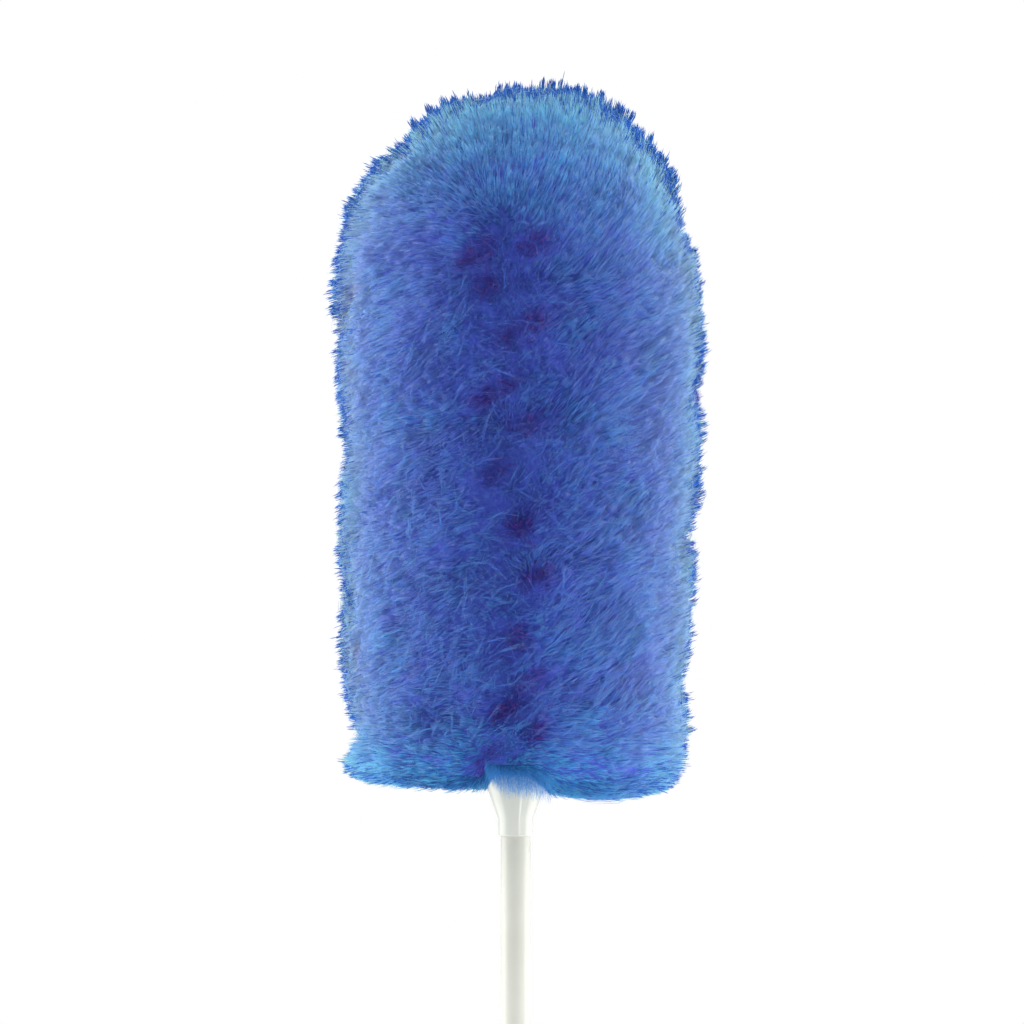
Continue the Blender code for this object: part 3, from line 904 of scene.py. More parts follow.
BULGES = (
    Bulge("rise", 62, 17, whole=-0.0024, right=0.0026, left=-0.0026),
    Bulge("rise", 90, 16, whole=-0.0072),
    Bulge("rise", 23, 12, right=-0.0040),
    Bulge("rise", 45, 8, left=-0.0062),
    Bulge("rise", 76, 9, left=-0.0036),
    Bulge("row", 157, 4.5, left=0.0060),
    Bulge("height", 0.060, 0.020, left=-0.0030),
)
CROWN_ROWS = 60
SIDE_ROWS = 90
UNDER_ROWS = 40
EDGE_ROW = CROWN_ROWS + SIDE_ROWS


@dataclass(frozen=True)
class Tuft:
    """Fibres that bend over and lie along the outside, and how their directions scatter."""

    fibres: int
    reach: float
    half_width: float
    scatter: float


@dataclass
class Fleece:
    """The wool head: locks of combed fibres over an underwool darkened as painted shade.

    Heights are above the collar's lower rim. The rows of rays run down the crown, then down the
    side, then under the lower edge. Each crease has a place across the front, a height and a reach.
    The notch has a left and a right end, and the height that it lifts the lower edge by. The bore
    has a radius and a height for each of its rings. Tones run from 0 in a crease, which is painted
    shade, to 1 on the palest wool, and a bunch says how far a lock's fibres close up at the tip, in
    its middle and less outside.
    The sight slope is how much lower a place looks for each metre that it is nearer to the camera.
    """

    collar: float
    crown_base: float = 0.2654
    crown_fan: float = 0.0250
    side_low: float = 0.0460
    under_end: float = math.radians(-56)
    columns: int = 97
    beyond: float = 0.5
    crown_blur: float = 8.0
    side_blur: float = 1.5
    lock_spacing: float = 0.0042
    jitter_round: float = 0.40
    jitter_down: float = 0.45
    per_lock: int = 20
    length: float = 0.0240
    width: float = 0.00026
    proud: float = 0.0014
    guard_reach: float = 0.0012
    belly: float = 0.88
    guard_belly: float = 0.94
    round_comb: float = 0.0022
    up_comb: float = 0.0020
    rim_comb: float = 0.0075
    lean_round: float = 0.0060
    lean_up: float = 0.0020
    side_comb: float = 0.0010
    crown_comb: float = 0.0080
    parting_comb: float = 0.0025
    wander: float = 0.0028
    unrest: float = 0.0012
    roughness: float = 0.0006
    crimp: float = 0.0005
    tooth: Pair = (0.0002, 0.0024)
    stray: Pair = (0.001, 0.003)
    stray_share: float = 0.015
    guard_share: float = 0.60
    guard_rare: float = 0.02
    teeth_share: float = 0.22
    tone_range: Pair = (0.21, 0.98)
    # The tone painted into the creases as their shade.
    crease_shade_tone: float = 0.04
    side_tone: float = 0.29
    # How much paler the crown and the lower edge are painted, as painted light.
    painted_light_tone: float = 0.52
    patch_tone: float = 0.08
    flank_tone: float = 0.11
    tuft_tone: Pair = (0.40, 0.13)
    bunch_sharp: Pair = (0.85, 0.15)
    bunch_soft: Pair = (0.45, 0.45)
    round_sharp: float = 0.0014
    round_soft: float = 0.0034
    wisps: int = 1500
    wisp: Tuft = Tuft(4, 0.017, 0.0006, 0.45)
    frizz: int = 9000
    single: Tuft = Tuft(1, 0.012, 0.0010, 1.1)
    creases: tuple[Triple, ...] = (
        (-0.021, 0.288, 0.010), (0.008, 0.292, 0.008), (-0.015, 0.272, 0.007),
        (0.003, 0.251, 0.012), (-0.012, 0.220, 0.012), (0.004, 0.204, 0.007),
        (-0.010, 0.182, 0.007), (0.001, 0.155, 0.010), (0.010, 0.131, 0.009),
        (0.001, 0.099, 0.007), (0.008, 0.080, 0.007), (-0.007, 0.065, 0.008),
        (0.012, 0.054, 0.007), (-0.015, 0.038, 0.008),
    )
    notch: Triple = (-0.0163, 0.0170, 0.0092)
    sight_slope: float = 0.044
    veil: int = 4200
    veil_near: float = -0.019
    veil_depth: float = 0.067
    veil_height: float = 0.0325
    veil_slant: float = 0.10
    veil_drop: float = 0.0130
    veil_length: float = 0.009
    pitch: float = 0.0700
    pitch_start: float = 0.02833
    phase: float = 0.22
    parting_reach: float = 0.011
    underwool_depth: float = 0.0070
    segments: int = 240
    outer_rings: int = 132
    bore_clearance: float = 0.0180
    bore: tuple[Pair, ...] = (
        (0.0176, 0.0322),
        (0.0138, 0.0322),
        (0.0138, 0.3038),
        (0.0153, 0.3038),
        (0.0153, 0.3056),
        (0.0043, 0.3056),
        (0.0, 0.3083),
    )
    most_faces: int = 195000
    seed: int = 11

    def rays(self) -> tuple[Array, Array]:
        """Lays the rows of rays that meet the pile's outside, from the crown's top to the bore.

        Returns:
            The height of each row's start on the axis, and its elevation in radians.
        """
        crown = np.radians(np.linspace(90, 0, CROWN_ROWS, endpoint=False))
        side = np.linspace(self.crown_base, self.side_low, SIDE_ROWS, endpoint=False)
        under = np.linspace(0, self.under_end, UNDER_ROWS)
        fan = self.crown_base + self.crown_fan * np.sin(crown)
        heights = np.concatenate([fan, side, np.full(UNDER_ROWS, self.side_low)])
        return heights, np.concatenate([crown, np.zeros(SIDE_ROWS), under])

    def measure(self, pile: Piece) -> None:
        """Casts the rays at the pile's solid and keeps how far each one reaches.

        The crown's rows are smoothed more than the side's.

        Args:
            pile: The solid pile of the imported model.
        """
        points = [v.co.copy() for v in pile.data.vertices]
        tree = BVHTree.FromPolygons(points, [tuple(p.vertices) for p in pile.data.polygons])
        self.heights, self.elevations = self.rays()
        self.turns = np.linspace(-math.pi, math.pi, self.columns)
        reach = np.zeros((len(self.heights), len(self.turns)))
        for row, (height, rise) in enumerate(zip(self.heights, self.elevations)):
            start, flat = Vector((0, 0, self.collar + height)), math.cos(rise)
            for column, angle in enumerate(self.turns):
                way = Vector((flat * math.cos(angle), flat * math.sin(angle), math.sin(rise)))
                hit = tree.ray_cast(start + way * self.beyond, -way)
                reach[row, column] = (hit[0] - start).length
        numbers = np.arange(len(reach))
        soft = np.interp(numbers, [CROWN_ROWS - 10, CROWN_ROWS + 15], [self.crown_blur, self.side_blur])
        share = np.exp(-(((numbers[:, None] - numbers[None, :]) / soft[:, None]) ** 2) / 2)
        self.reach = share / share.sum(axis=1, keepdims=True) @ reach
        middle = self.reach.mean(axis=1)
        self.profile_r = middle * np.cos(self.elevations)
        profile_z = self.heights + middle * np.sin(self.elevations)
        steps = np.hypot(np.diff(self.profile_r), np.diff(profile_z))
        self.along = np.concatenate([[0.0], np.cumsum(steps)])

    def surface(self, row: Array, angle: Array) -> tuple[Array, ...]:
        """Places points on the pile's outside.

        Args:
            row: Row numbers, with fractions.
            angle: Angles round the axis in radians.

        Returns:
            The places, and the ways out, round and up.
        """
        angle = (angle + math.pi) % math.tau - math.pi
        numbers = np.arange(len(self.heights))
        height, rise = [np.interp(row, numbers, kept) for kept in (self.heights, self.elevations)]
        column = (angle + math.pi) / math.tau * (len(self.turns) - 1)
        r0 = np.clip(row.astype(int), 0, len(numbers) - 2)
        c0 = np.clip(column.astype(int), 0, len(self.turns) - 2)
        fr, fc = row - r0, column - c0
        reach = (
            self.reach[r0, c0] * (1 - fr) * (1 - fc)
            + self.reach[r0 + 1, c0] * fr * (1 - fc)
            + self.reach[r0, c0 + 1] * (1 - fr) * fc
            + self.reach[r0 + 1, c0 + 1] * fr * fc
        )
        cos_r, sin_r, cos_t, sin_t = np.cos(rise), np.sin(rise), np.cos(angle), np.sin(angle)
        zero = 0 * angle
        way = np.stack([cos_r * cos_t, cos_r * sin_t, sin_r], axis=1)
        start = np.stack([zero, zero, self.collar + height], axis=1)
        round_way = np.stack([-sin_t, cos_t, zero], axis=1)
        up_way = np.stack([-sin_r * cos_t, -sin_r * sin_t, cos_r], axis=1)
        return start + way * reach[:, None], way, round_way, up_way

    def wave(self, points: Array, size: float, key: int) -> Array:
        """A smooth random field in space.

        Args:
            points: Places in metres.
            size: The distance over which it changes, in metres.
            key: Which of the fields.

        Returns:
            One value for each point, mostly between -1 and 1.
        """
        source = np.random.default_rng(self.seed * 1000 + key)
        total, waves = np.zeros(len(points)), 14
        for _ in range(waves):
            way = source.normal(size=3)
            way *= math.tau / (2 * size) * source.uniform(0.6, 1.3) / np.linalg.norm(way)
            total += np.sin(points @ way + source.uniform(0, math.tau))
        return total / math.sqrt(waves / 2) / 1.6

    def parting(self, spots: Array) -> tuple[Array, Array]:
        """Finds the line where two turns of the strip meet.

        Args:
            spots: Places in metres.

        Returns:
            Each place's side of the line, and its nearness from 0 to 1.
        """
        angle = np.arctan2(spots[:, 1], spots[:, 0]) / math.tau
        line = self.pitch * (angle - self.phase) + self.pitch_start
        height = spots[:, 2] - self.collar
        away = (height - line + self.pitch / 2) % self.pitch - self.pitch / 2
        return np.sign(away), np.clip(1 - np.abs(away) / self.parting_reach, 0, 1)

    def crease(self, spots: Array) -> Array:
        """Says how deep in one of the short, slanting creases each place lies.

        The front's creases are repeated, turned and mirrored, on three other faces of the head. The wool
        sinks into them, and its tone is darkened there as painted shade.

        Args:
            spots: Places in metres.

        Returns:
            From 0 on the open wool to 1 in the middle of a crease.
        """
        height = spots[:, 2] - self.collar
        angle = np.arctan2(spots[:, 1], spots[:, 0])
        found = np.zeros(len(spots))
        lean, head_r, face_turn, face_rise = math.radians(32), 0.085, 1.62, 0.017
        long, thick = 1.15, 0.0054
        for face, (side, strength) in enumerate(((1, 1.0), (-1, 0.45), (1, 0.5), (-1, 0.45))):
            for across, high, reach in self.creases:
                middle = -math.pi / 2 + side * across / head_r + face * face_turn
                away = ((angle - middle + math.pi) % math.tau - math.pi) * head_r
                up = height - high - face * face_rise
                along = away * math.cos(lean) + up * math.sin(lean)
                aside = up * math.cos(lean) - away * math.sin(lean)
                near = (along / (long * reach)) ** 2 + (aside / thick) ** 2
                found = np.maximum(found, strength * np.exp(-near))
        return found

    def lift(self, places: Array) -> Array:
        """Lifts the lower edge in front, where the cone shows.

        Args:
            places: Places in metres, in an array of any shape whose last axis is X, Y, Z.

        Returns:
            The lifted places.
        """
        left, right, rise = self.notch
        x, y, height = places[..., 0], places[..., 1], places[..., 2] - self.collar
        edge = left + 0.28 * np.clip(0.0294 - height - self.sight_slope * y, -0.010, 0.010)
        across = ramp(x, edge, 0.0025) * ramp(x, right, -0.010) ** 0.7
        low = (1 - ramp(height, 0.022, 0.040)) ** 1.5
        lifted = places.copy()
        lifted[..., 2] += rise * across * ramp(y, -0.010, -0.008) * low
        return lifted

    def lay_locks(self) -> tuple[Array, Array]:
        """Spreads the locks evenly over the pile's outside.

        Returns:
            Each lock's row number with its fraction, and its angle.
        """
        rows, angles, dice = [], [], self.dice
        numbers = np.arange(len(self.along))
        ring = self.lock_spacing / 2
        while ring < self.along[-1]:
            row = float(np.interp(ring, self.along, numbers))
            around = math.tau * float(np.interp(ring, self.along, self.profile_r))
            count = max(3, round(around / self.lock_spacing))
            shift = dice.uniform(0, math.tau)
            spots = np.arange(count) + dice.uniform(-self.jitter_round, self.jitter_round, count)
            down = dice.uniform(-self.jitter_down, self.jitter_down, count) * self.lock_spacing
            rows.append(np.interp(ring + down, self.along, numbers))
            angles.append(spots / count * math.tau + shift)
            ring += self.lock_spacing
        return np.concatenate(rows), np.concatenate(angles)

    def fields(self, row: Array, way: Array, spot: Array) -> tuple[Array, ...]:
        """Works out how the wool's outside differs from the plain pile.

        Args:
            row: Row numbers, with fractions.
            way: Directions of the rays.
            spot: Places on the plain pile's outside.

        Returns:
            How far the wool stands out or falls in, the side of the nearest parting and how open
            the wool lies there.
        """
        flat, rise = slope(way)
        rightward = way[:, 0] / np.maximum(flat, 1e-6)
        side, near = self.parting(spot)
        opened = near * np.clip(0.55 + 0.6 * self.wave(spot, 0.030, 5), 0, 1.2) * flat
        below = ramp(row, EDGE_ROW + 3, 9)
        out = 0.0018 * self.wave(spot, 0.016, 1) * (1 - 0.6 * below)
        out -= 0.0030 * opened**1.5 * (1 - below)
        out -= 0.0045 * self.crease(spot)
        out -= below * (0.0097 - 0.0041 * rightward)
        right, left = np.clip(rightward, 0, 1), np.clip(-rightward, 0, 1)
        measures = {"rise": np.degrees(rise), "row": row, "height": spot[:, 2] - self.collar}
        for bulge in BULGES:
            share = hill(measures[bulge.along], bulge.middle, bulge.width)
            out += share * (bulge.whole + bulge.right * right + bulge.left * left)
        return out, side, opened

    def place(self, row: Array, angle: Array) -> tuple[Array, ...]:
        """Places points on the wool's own outside, with its locks and partings.

        Args:
            row: Row numbers, with fractions.
            angle: Angles round the axis in radians.

        Returns:
            The places, the ways out, round and up, the side of the nearest parting and how open
            the wool lies there.
        """
        plain, way, round_way, up_way = self.surface(row, angle)
        out, side, opened = self.fields(row, way, plain)
        return plain + way * (self.proud + out)[:, None], way, round_way, up_way, side, opened

    def shade(self, tones: Array, crease_shade: Array) -> Array:
        """Keeps tones in the dye's range, and darkens them with painted shade where the wool is creased.
        """
        return np.clip(tones, *self.tone_range) * (1 - crease_shade) + self.crease_shade_tone * crease_shade

    def guard(self, row: Array, way: Array, crown: Array) -> Array:
        """Says how much of each lock is long guard hair, whose darker ends are painted shade along
        the outline: most at the sides, the top and the rim.

        Args:
            row: Each lock's row number, with its fraction.
            way: Each lock's way out.
            crown: How far up the crown it stands, from 0 to 1.

        Returns:
            From 0 to 1 for each lock.
        """
        rise = slope(way)[1]
        guard_and_shade = hill(way[:, 1], 0.0, 0.14 + 0.11 * crown)
        guard_and_shade = np.maximum(guard_and_shade, ramp(rise, math.radians(66), math.radians(16)))
        return np.maximum(guard_and_shade * ramp(row, EDGE_ROW + 6, -12), 0.35 * hill(row, EDGE_ROW + 9, 5))

    def grow(self, row: Array, angle: Array) -> list[Strands]:
        """Grows the locks: each one gets a tip, a comb and a tone, and then its fibres.

        Args:
            row: Each lock's row number, with its fraction.
            angle: Each lock's angle.

        Returns:
            The soft fibres of all locks, and their longest hairs.
        """
        spot, way, round_way, up_way, side, opened = self.place(row, angle)
        dice, count, height = self.dice, len(row), spot[:, 2] - self.collar
        flat, rise = slope(way)
        crown = ramp(rise, math.radians(12), math.radians(48))
        # Some locks are sharp teeth that stand a little further out than the rest.
        teeth = dice.uniform(0, 1, count) < self.teeth_share
        bold = teeth * dice.uniform(*self.tooth, count) * (1 + 0.8 * crown)
        rough = 0.0007 * self.wave(spot, 0.005, 8) + dice.normal(0, self.roughness, count)
        tip = spot + way * ((rough + bold) * (1 - 0.6 * ramp(row, EDGE_ROW - 2, 10)))[:, None]
        # The comb is how far a lock's tip lies round and up from its root.
        low = np.clip(1.25 - height / 0.28, 0.25, 1.0)
        sweep = np.clip(0.55 + 0.75 * self.wave(spot, 0.020, 6), 0, 1.5) * low
        lean = np.tanh(spot[:, 0] / 0.030) * np.clip(-spot[:, 1] / 0.030, -1, 1) * flat
        droop = np.tanh(spot[:, 0] / 0.045) * flat * ramp(row, EDGE_ROW - 2, -12)
        comb_round = (
            self.round_comb * sweep * flat**2
            + self.lean_round * lean
            + self.wander * self.wave(spot, 0.020, 2)
            + dice.normal(0, self.unrest, count)
        )
        comb_up = (
            self.up_comb * sweep * flat
            + (self.side_comb + self.crown_comb * crown) * flat
            + self.lean_up * lean
            + self.rim_comb * droop
            + self.wander * self.wave(spot, 0.018, 3)
            + dice.normal(0, self.unrest, count)
            + side * opened * self.parting_comb
        )
        comb = round_way * comb_round[:, None] + up_way * comb_up[:, None]
        root = tip - way * self.length - comb
        # The wool is painted paler over the crown and along the lower edge, and less so where the lower
        # edge faces right: painted light for how the lamps fall there.
        low_edge_light = 1 - ramp(height, 0.022, 0.045)
        low_edge_light *= 1.2 - 0.45 * np.clip(way[:, 0], 0, 1)
        tone = self.side_tone + self.painted_light_tone * np.maximum(crown, low_edge_light)
        tone += self.patch_tone * self.wave(spot, 0.012, 4) + dice.normal(0, 0.04, count)
        flank = np.clip(1.4 * np.abs(way[:, 0]) - 0.3, 0, 1)
        tone += self.flank_tone * flank * self.wave(spot, 0.026, 9)
        soft = way * np.where(way[:, 2:] < 0, [1.0, 1.0, 0.3], 1.0)
        soft /= np.linalg.norm(soft, axis=1, keepdims=True)

        # A lock's fibres spread round its middle, close up towards its tip and end unevenly.
        lock = np.repeat(np.arange(count), self.per_lock)
        total = len(lock)
        out = np.sqrt(dice.uniform(0, 1, total))
        spread = out * self.lock_spacing * 0.90
        spin = dice.uniform(0, math.tau, total)
        off = round_way[lock] * (spread * np.cos(spin))[:, None]
        off += up_way[lock] * (spread * np.sin(spin))[:, None]
        sharp = teeth[lock]
        middle, fall = np.where(sharp[:, None], self.bunch_sharp, self.bunch_soft).T
        clump = middle - fall * out**2
        clump = np.clip(clump + dice.normal(0, 0.08, total), 0.0, 0.97)
        shorten = np.abs(dice.normal(0, 0.0007, total))
        shorten += np.where(sharp, self.round_sharp, self.round_soft) * out**2
        stray = dice.uniform(0, 1, total) > 1 - self.stray_share
        shorten -= stray * dice.uniform(*self.stray, total)
        # Its innermost fibres are long guard hairs where the guard's share asks for them; their darker
        # ends are painted shade along the outline.
        guard_and_shade = self.guard(row, way, crown)
        wanted = self.guard_rare + (self.guard_share - self.guard_rare) * guard_and_shade[lock]
        wanted *= 1 + 0.6 * crown[lock]
        longest = (out**2 < 1.15 * wanted) & (dice.uniform(0, 1, total) < 0.90)
        shorten -= longest * self.guard_reach * (guard_and_shade * (1 + 1.2 * crown))[lock]
        tip = tip[lock] - way[lock] * shorten[:, None]
        tip += dice.normal(0, self.roughness, (total, 3))
        comb = comb[lock] * dice.normal(1, 0.18, total)[:, None]
        root = root[lock]
        # A fibre leaves its root straight out, bends over with the comb and sways a little.
        belly = np.where(longest, self.guard_belly, self.belly)
        share = np.stack([0 * belly, belly, 0 * belly + 1], axis=1)
        along = share[:, :, None]
        line = root[:, None] + (tip - root - comb)[:, None] * along + comb[:, None] * along**2.0
        narrow = 1 - clump[:, None] * ramp(share, 0.3, 0.7) ** 1.4
        line += off[:, None] * ((0.85 + share * 0.25) * narrow)[:, :, None]
        phase = dice.uniform(0, math.tau, count)[lock] + dice.normal(0, 0.5, total)
        for bend, speed in ((round_way, 5.0), (up_way, 4.0)):
            sway = np.sin(share * speed + phase[:, None] * speed) * self.crimp
            line += bend[lock][:, None] * (sway * share)[:, :, None]
        half = self.width / 2 * dice.uniform(0.75, 1.25, total) * np.where(longest, 1.5, 1.0)
        tones = tone[lock] + dice.normal(0, 0.05, total)
        tones = self.shade(tones, np.clip(1.7 * self.crease(tip), 0, 1))
        made = Strands(line, half, tones, row[lock], soft[lock], (0.0, self.belly, 1.0))
        locks, tips = made.pick(~longest), made.pick(longest)
        tips.share = (0.0, self.guard_belly, 1.0)
        return [locks, tips]

    def comb_over(self, row: Array, angle: Array, tuft: Tuft) -> Strands:
        """Lays tufts of fibres that bend over and lie along the outside.

        Args:
            row: Each tuft's row number, with its fraction.
            angle: Each tuft's angle.
            tuft: How a tuft is made.

        Returns:
            The fibres of all tufts.
        """
        spot, way, round_way, up_way, _, _ = self.place(row, angle)
        count, dice = len(row), self.dice
        aim = 0.65 + 0.6 * self.wave(spot, 0.045, 7) + dice.normal(0, tuft.scatter, count)
        cos_a, sin_a = np.cos(aim)[:, None], np.sin(aim)[:, None]
        ahead, aside = round_way * cos_a + up_way * sin_a, up_way * cos_a - round_way * sin_a
        each = np.repeat(np.arange(count), tuft.fibres)
        total = len(each)
        far = tuft.reach * dice.uniform(0.75, 1.25, count)[each] * dice.uniform(0.8, 1.1, total)
        place = dice.uniform(-1, 1, total) * tuft.half_width
        rise = dice.normal(0, 0.0009, total)
        curl = dice.normal(0, 0.0035, count)[each] + dice.normal(0, 0.0007, total)
        steps = ((0.0, -0.0080, 0.8), (0.30, -0.0026, 1.0), (0.62, -0.0012, 0.8), (1.0, -0.0022, 0.5))
        line = np.stack(
            [
                spot[each]
                + way[each] * (height + rise * share)[:, None]
                + ahead[each] * (far * share)[:, None]
                + aside[each] * (place * narrow + curl * share**2)[:, None]
                for share, height, narrow in steps
            ],
            axis=1,
        )
        half = self.width * 0.28 * dice.uniform(0.7, 1.2, total)
        # Tufts are painted paler low on the head and where they face up: painted highlights.
        bright = np.maximum(1.2 - (spot[:, 2] - self.collar) / 0.20, 1.3 * way[:, 2])
        tone = self.tuft_tone[0] + self.tuft_tone[1] * np.clip(bright, 0, 1)
        tones = tone[each] + dice.normal(0, 0.07, total)
        tones = self.shade(tones, np.clip(1.5 * self.crease(spot), 0, 1)[each])
        return Strands(line, half, tones, row[each], way[each], (0.45, 0.66, 0.82, 0.95))

    def hang_veil(self) -> Strands:
        """Hangs single fine fibres in front of the cone, where the wool thins out over it.

        Returns:
            The hanging fibres.
        """
        left, right, _ = self.notch
        dice = self.dice
        across = dice.uniform(left + 0.0012, right, self.veil)
        depth = self.veil_near - self.veil_depth * dice.uniform(0, 1, self.veil) ** 0.45
        low = 1 - dice.uniform(0, 1, self.veil) ** 0.55
        drop = self.veil_drop * low * np.clip(0.3 + (across - left) / 0.014, 0, 1)
        sway = dice.normal(0.0004, 0.0006, (self.veil, 2))
        seen = self.sight_slope * (depth + 0.025)
        tip = self.collar + self.veil_height - self.veil_slant * (across - left) - drop - seen
        top = np.where(depth > -0.050, np.maximum(tip, self.collar + 0.032), tip)
        top += self.veil_length
        near, far = across + sway[:, 0], across + sway[:, 0] + sway[:, 1]
        course = ((across, top), (near, top * 0.15 + tip * 0.85), (far, tip))
        line = np.stack([np.stack([x, depth, z], axis=1) for x, z in course], axis=1)
        half = np.full(self.veil, self.width * 0.10)
        tones = np.clip(0.30 + 0.65 * low**0.6 + dice.normal(0, 0.05, self.veil), 0.24, 0.98)
        ahead = np.tile([0.3, -0.9, -0.3], (self.veil, 1))
        return Strands(line, half, tones, np.full(self.veil, EDGE_ROW), ahead, (0.6, 0.8, 1.0))

    def make_underwool(self, look: Material) -> None:
        """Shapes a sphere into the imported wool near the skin, which stands for the solid.

        Its rings run from the crown down the outside, under the lower edge and up the core's bore.

        Args:
            look: Its finish.
        """
        rings = self.outer_rings + len(self.bore)
        made = add_mesh("uv_sphere", segments=self.segments, ring_count=rings, radius=1.0)
        made.name = made.data.name = "underwool"
        places = np.array([v.co[:] for v in made.data.vertices])
        ring = np.rint(np.arccos(np.clip(places[:, 2], -1, 1)) / math.pi * rings).astype(int)
        angle = np.arctan2(places[:, 1], places[:, 0])
        along = np.minimum(ring / self.outer_rings, 1.0) * self.along[-1] * 0.985
        row = np.interp(along, self.along, np.arange(len(self.along)))
        plain, way, _, _ = self.surface(row, angle)
        out, _, opened = self.fields(row, way, plain)
        below = ramp(row, EDGE_ROW, 22)[:, None]
        depth = self.underwool_depth - out * (1 - 0.7 * below[:, 0]) + 0.0015 * opened
        inward = way * (1 - below) + np.array([0, 0, -1.0]) * below
        placed = plain - inward * depth[:, None]
        wider = np.maximum(1, self.bore_clearance / np.hypot(placed[:, 0], placed[:, 1]))
        placed[:, :2] *= np.where(row > EDGE_ROW, wider, 1)[:, None]
        inside = ring > self.outer_rings
        radius, height = np.array(self.bore)[ring[inside] - self.outer_rings - 1].T
        corners = radius * np.cos(angle[inside]), radius * np.sin(angle[inside])
        placed[inside] = np.stack([*corners, self.collar + height], axis=1)
        placed[~inside] = self.lift(placed[~inside])
        made.data.vertices.foreach_set("co", placed.reshape(-1))
        bpy.ops.object.mode_set(mode="EDIT")
        bpy.ops.mesh.select_all(action="SELECT")
        bpy.ops.mesh.normals_make_consistent(inside=False)
        bpy.ops.object.mode_set(mode="OBJECT")
        bpy.ops.object.shade_smooth()
        fit(made, "wool_pile", Body.HEAD, look)

    def lay_bands(self, name: str, strands: Strands, look: Material) -> None:
        """Makes a batch's pieces, in as many bands as keep each piece small.

        Args:
            name: The batch's name.
            strands: Its fibres.
            look: Its finish.
        """
        order = np.argsort(strands.row, kind="stable")
        bands = math.ceil(len(order) * strands.faces_each() / self.most_faces)
        for number, chosen in enumerate(np.array_split(order, bands), 1):
            piece = strands.pick(chosen).mesh(f"{name}_{number:02d}" if bands > 1 else name)
            piece.data.materials.append(look)
            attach(piece, Body.HEAD.value)
        log.info("%s: %d fibres in %d bands", name, len(order), bands)

    def build(self, wool: Material, ends: Material, haze: Material, under: Material) -> None:
        """Builds the underwool and all batches of fibres.

        Args:
            wool: The fibres' finish.
            ends: The finish of the longest hairs, whose darker ends are painted outline shade.
            haze: The finish of the single fibres that hang over the cone.
            under: The underwool's finish.
        """
        self.measure(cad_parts["wool_pile"])
        self.make_underwool(under)
        self.dice = np.random.default_rng(self.seed)
        row, angle = self.lay_locks()
        batches = dict(zip(("wool_locks", "wool_shaded_tips"), self.grow(row, angle)))
        height = np.interp(row, np.arange(len(self.heights)), self.heights)
        chance = np.where(row < CROWN_ROWS, 0.10, 1.15 - 0.85 * height / self.crown_base)
        chance *= row < EDGE_ROW
        chosen = self.dice.choice(len(row), self.wisps, replace=False, p=chance / chance.sum())
        batches["wool_wisps"] = self.comb_over(row[chosen], angle[chosen], self.wisp)
        chosen = self.dice.choice(np.flatnonzero(row < EDGE_ROW + 2), self.frizz, replace=False)
        batches["wool_frizz"] = self.comb_over(row[chosen], angle[chosen], self.single)
        for strands in batches.values():
            strands.line = self.lift(strands.line)
        batches["wool_veil"] = self.hang_veil()
        looks = {"wool_shaded_tips": ends, "wool_veil": haze}
        for name, strands in batches.items():
            self.lay_bands(name, strands, looks.get(name, wool))


# Studio


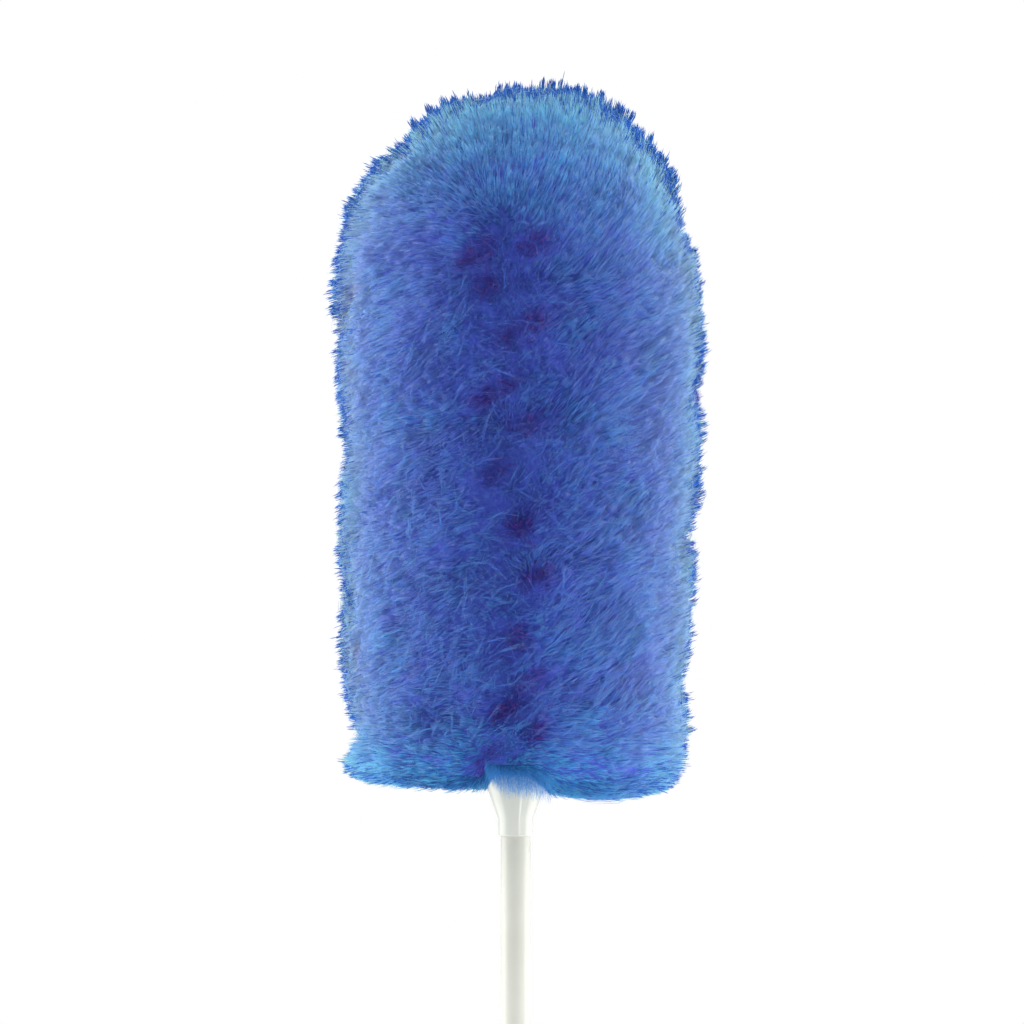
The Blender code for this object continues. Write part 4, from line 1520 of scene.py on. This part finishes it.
@dataclass
class Studio:
    """The camera, the soft lights, the floor and the white surround."""

    axis_height: float
    floor_height: float
    floor_r: float = 1.5
    distance: float = 3.2
    lens: float = 225.0
    offset: float = -0.0018
    warmth: Triple = (1.0, 0.995, 0.95)

    def make_camera(self) -> None:
        """Sets the camera level in front of the duster, as the photograph has it."""
        data = bpy.data.cameras.new("camera")
        data.lens = self.lens
        data.clip_end = 50
        made = bpy.data.objects.new("camera", data)
        made.location = (self.offset, -self.distance, self.axis_height)
        made.rotation_euler = (math.pi / 2, 0, 0)
        bpy.context.scene.collection.objects.link(made)
        bpy.context.scene.camera = made

    def add_lamp(self, name: str, kind: str, place: Triple, power: float, height: float) -> Piece:
        """Adds a lamp that faces a height on the duster's axis.

        Args:
            name: The lamp's name.
            kind: Its type.
            place: Where it stands.
            power: Its power in watts.
            height: The height that it faces.

        Returns:
            The lamp.
        """
        data = bpy.data.lights.new(name, kind)
        data.energy = power
        data.color = self.warmth
        made = bpy.data.objects.new(name, data)
        made.location = place
        towards = Vector((0, 0, height)) - Vector(place)
        made.rotation_euler = towards.to_track_quat("-Z", "Y").to_euler()
        bpy.context.scene.collection.objects.link(made)
        return made

    def add_soft_box(self, name: str, place: Triple, size: Pair, power: float) -> None:
        """Adds a soft box that faces the head.

        Args:
            name: The lamp's name.
            place: Where it stands.
            size: Its width and height.
            power: Its power in watts.
        """
        data = self.add_lamp(name, "AREA", place, power, self.axis_height).data
        data.shape = "RECTANGLE"
        data.size, data.size_y = size

    def add_snoot(self, lamp: Piece, cone: float, mirrored: bool) -> None:
        """Narrows a lamp to a soft-edged beam.

        Args:
            lamp: The lamp.
            cone: The full angle of its beam in degrees.
            mirrored: Whether glossy surfaces show it, which a polarised lamp avoids.
        """
        lamp.visible_glossy = mirrored
        lamp.data.spot_size = math.radians(cone)
        lamp.data.spot_blend = 1.0
        lamp.data.shadow_soft_size = 0.18

    def make_world(self, strength: float) -> None:
        """Makes the surround white to the eye and in reflections, and dimmer as light.

        Args:
            strength: How strongly it lights matt surfaces.
        """
        world = bpy.data.worlds.new("white surround")
        bpy.context.scene.world = world
        world.use_nodes = True
        tree = world.node_tree
        tree.nodes.clear()
        path = add_node(tree, "LightPath").outputs
        seen = path["Is Camera Ray"]
        for kind in ("Is Glossy Ray", "Is Transmission Ray"):
            seen = add_node(tree, "Math", {0: seen, 1: path[kind]}, operation="MAXIMUM").outputs[0]
        power = add_node(tree, "MapRange", {0: seen, 3: strength, 4: 1.0})
        back = add_node(tree, "Background", {"Color": (1, 1, 1, 1), "Strength": power.outputs[0]})
        add_node(tree, "OutputWorld", {0: back.outputs[0]})

    def make_floor(self) -> None:
        """Lays a round pale floor under the butt end, which fades out into the white surround."""
        bpy.ops.object.select_all(action="DESELECT")
        bpy.ops.mesh.primitive_circle_add(
            vertices=128, radius=self.floor_r, fill_type="NGON", location=(0, 0, self.floor_height)
        )
        floor = bpy.context.active_object
        floor.name = "studio_floor"
        look = Shading("matt white studio floor")
        away = add_node(look.tree, "VectorMath", {0: look.coords()}, operation="LENGTH")
        rim = {1: self.floor_r * 0.45, 2: self.floor_r * 0.95}
        fade = look.add(
            "MapRange", {0: away.outputs["Value"], **rim}, interpolation_type="SMOOTHSTEP"
        )
        shader = look.tree.nodes["Principled BSDF"].outputs[0]
        both = look.add("MixShader", {0: fade, 1: shader, 2: look.add("BsdfTransparent", {})})
        look.tree.links.new(both, look.tree.nodes["Material Output"].inputs[0])
        paint = {"Base Color": linear("#F4F4F2"), "Roughness": 0.9, "Specular IOR Level": 0.1}
        floor.data.materials.append(look.put(paint))

    def build(self) -> None:
        """Builds the studio."""
        self.make_camera()
        z = self.axis_height
        self.add_soft_box("left soft box", (-1.6, 0.20, z), (1.6, 2.2), 40)
        self.add_soft_box("right soft box", (1.6, 0.20, z), (1.6, 2.2), 36)
        self.add_soft_box("top soft box", (0.0, -0.3, z + 1.5), (1.4, 1.4), 10)
        self.add_soft_box("front strip", (1.32, -2.70, z - 0.31), (0.25, 0.8), 9)
        low = self.add_lamp("low snoot", "SPOT", (0.75, -1.5, z - 0.75), 9, z - 0.15)
        self.add_snoot(low, 14.0, True)
        right = self.add_lamp("right snoot", "SPOT", (1.30, -1.10, z - 0.75), 56, z - 0.20)
        self.add_snoot(right, 12.0, False)
        self.make_floor()
        self.make_world(0.92)
        bpy.context.scene.view_settings.view_transform = "Standard"


def main() -> None:
    """Builds and dresses the duster, piece by piece."""
    low, _ = cad_box
    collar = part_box("cone_ferrule")[0][2]
    Studio(axis_height=collar + 0.16185, floor_height=low[2] - 0.0005).build()
    Handle().build()
    Stem(collar_base=collar).build()
    looks = (WoolFinish(), TIP_SHADE_FINISH, HAZE_FINISH, UnderwoolFinish())
    Fleece(collar=collar).build(*(look.material() for look in looks))


if __name__ == "__main__":
    logging.basicConfig(level=logging.INFO, format="%(name)s: %(message)s")
    main()
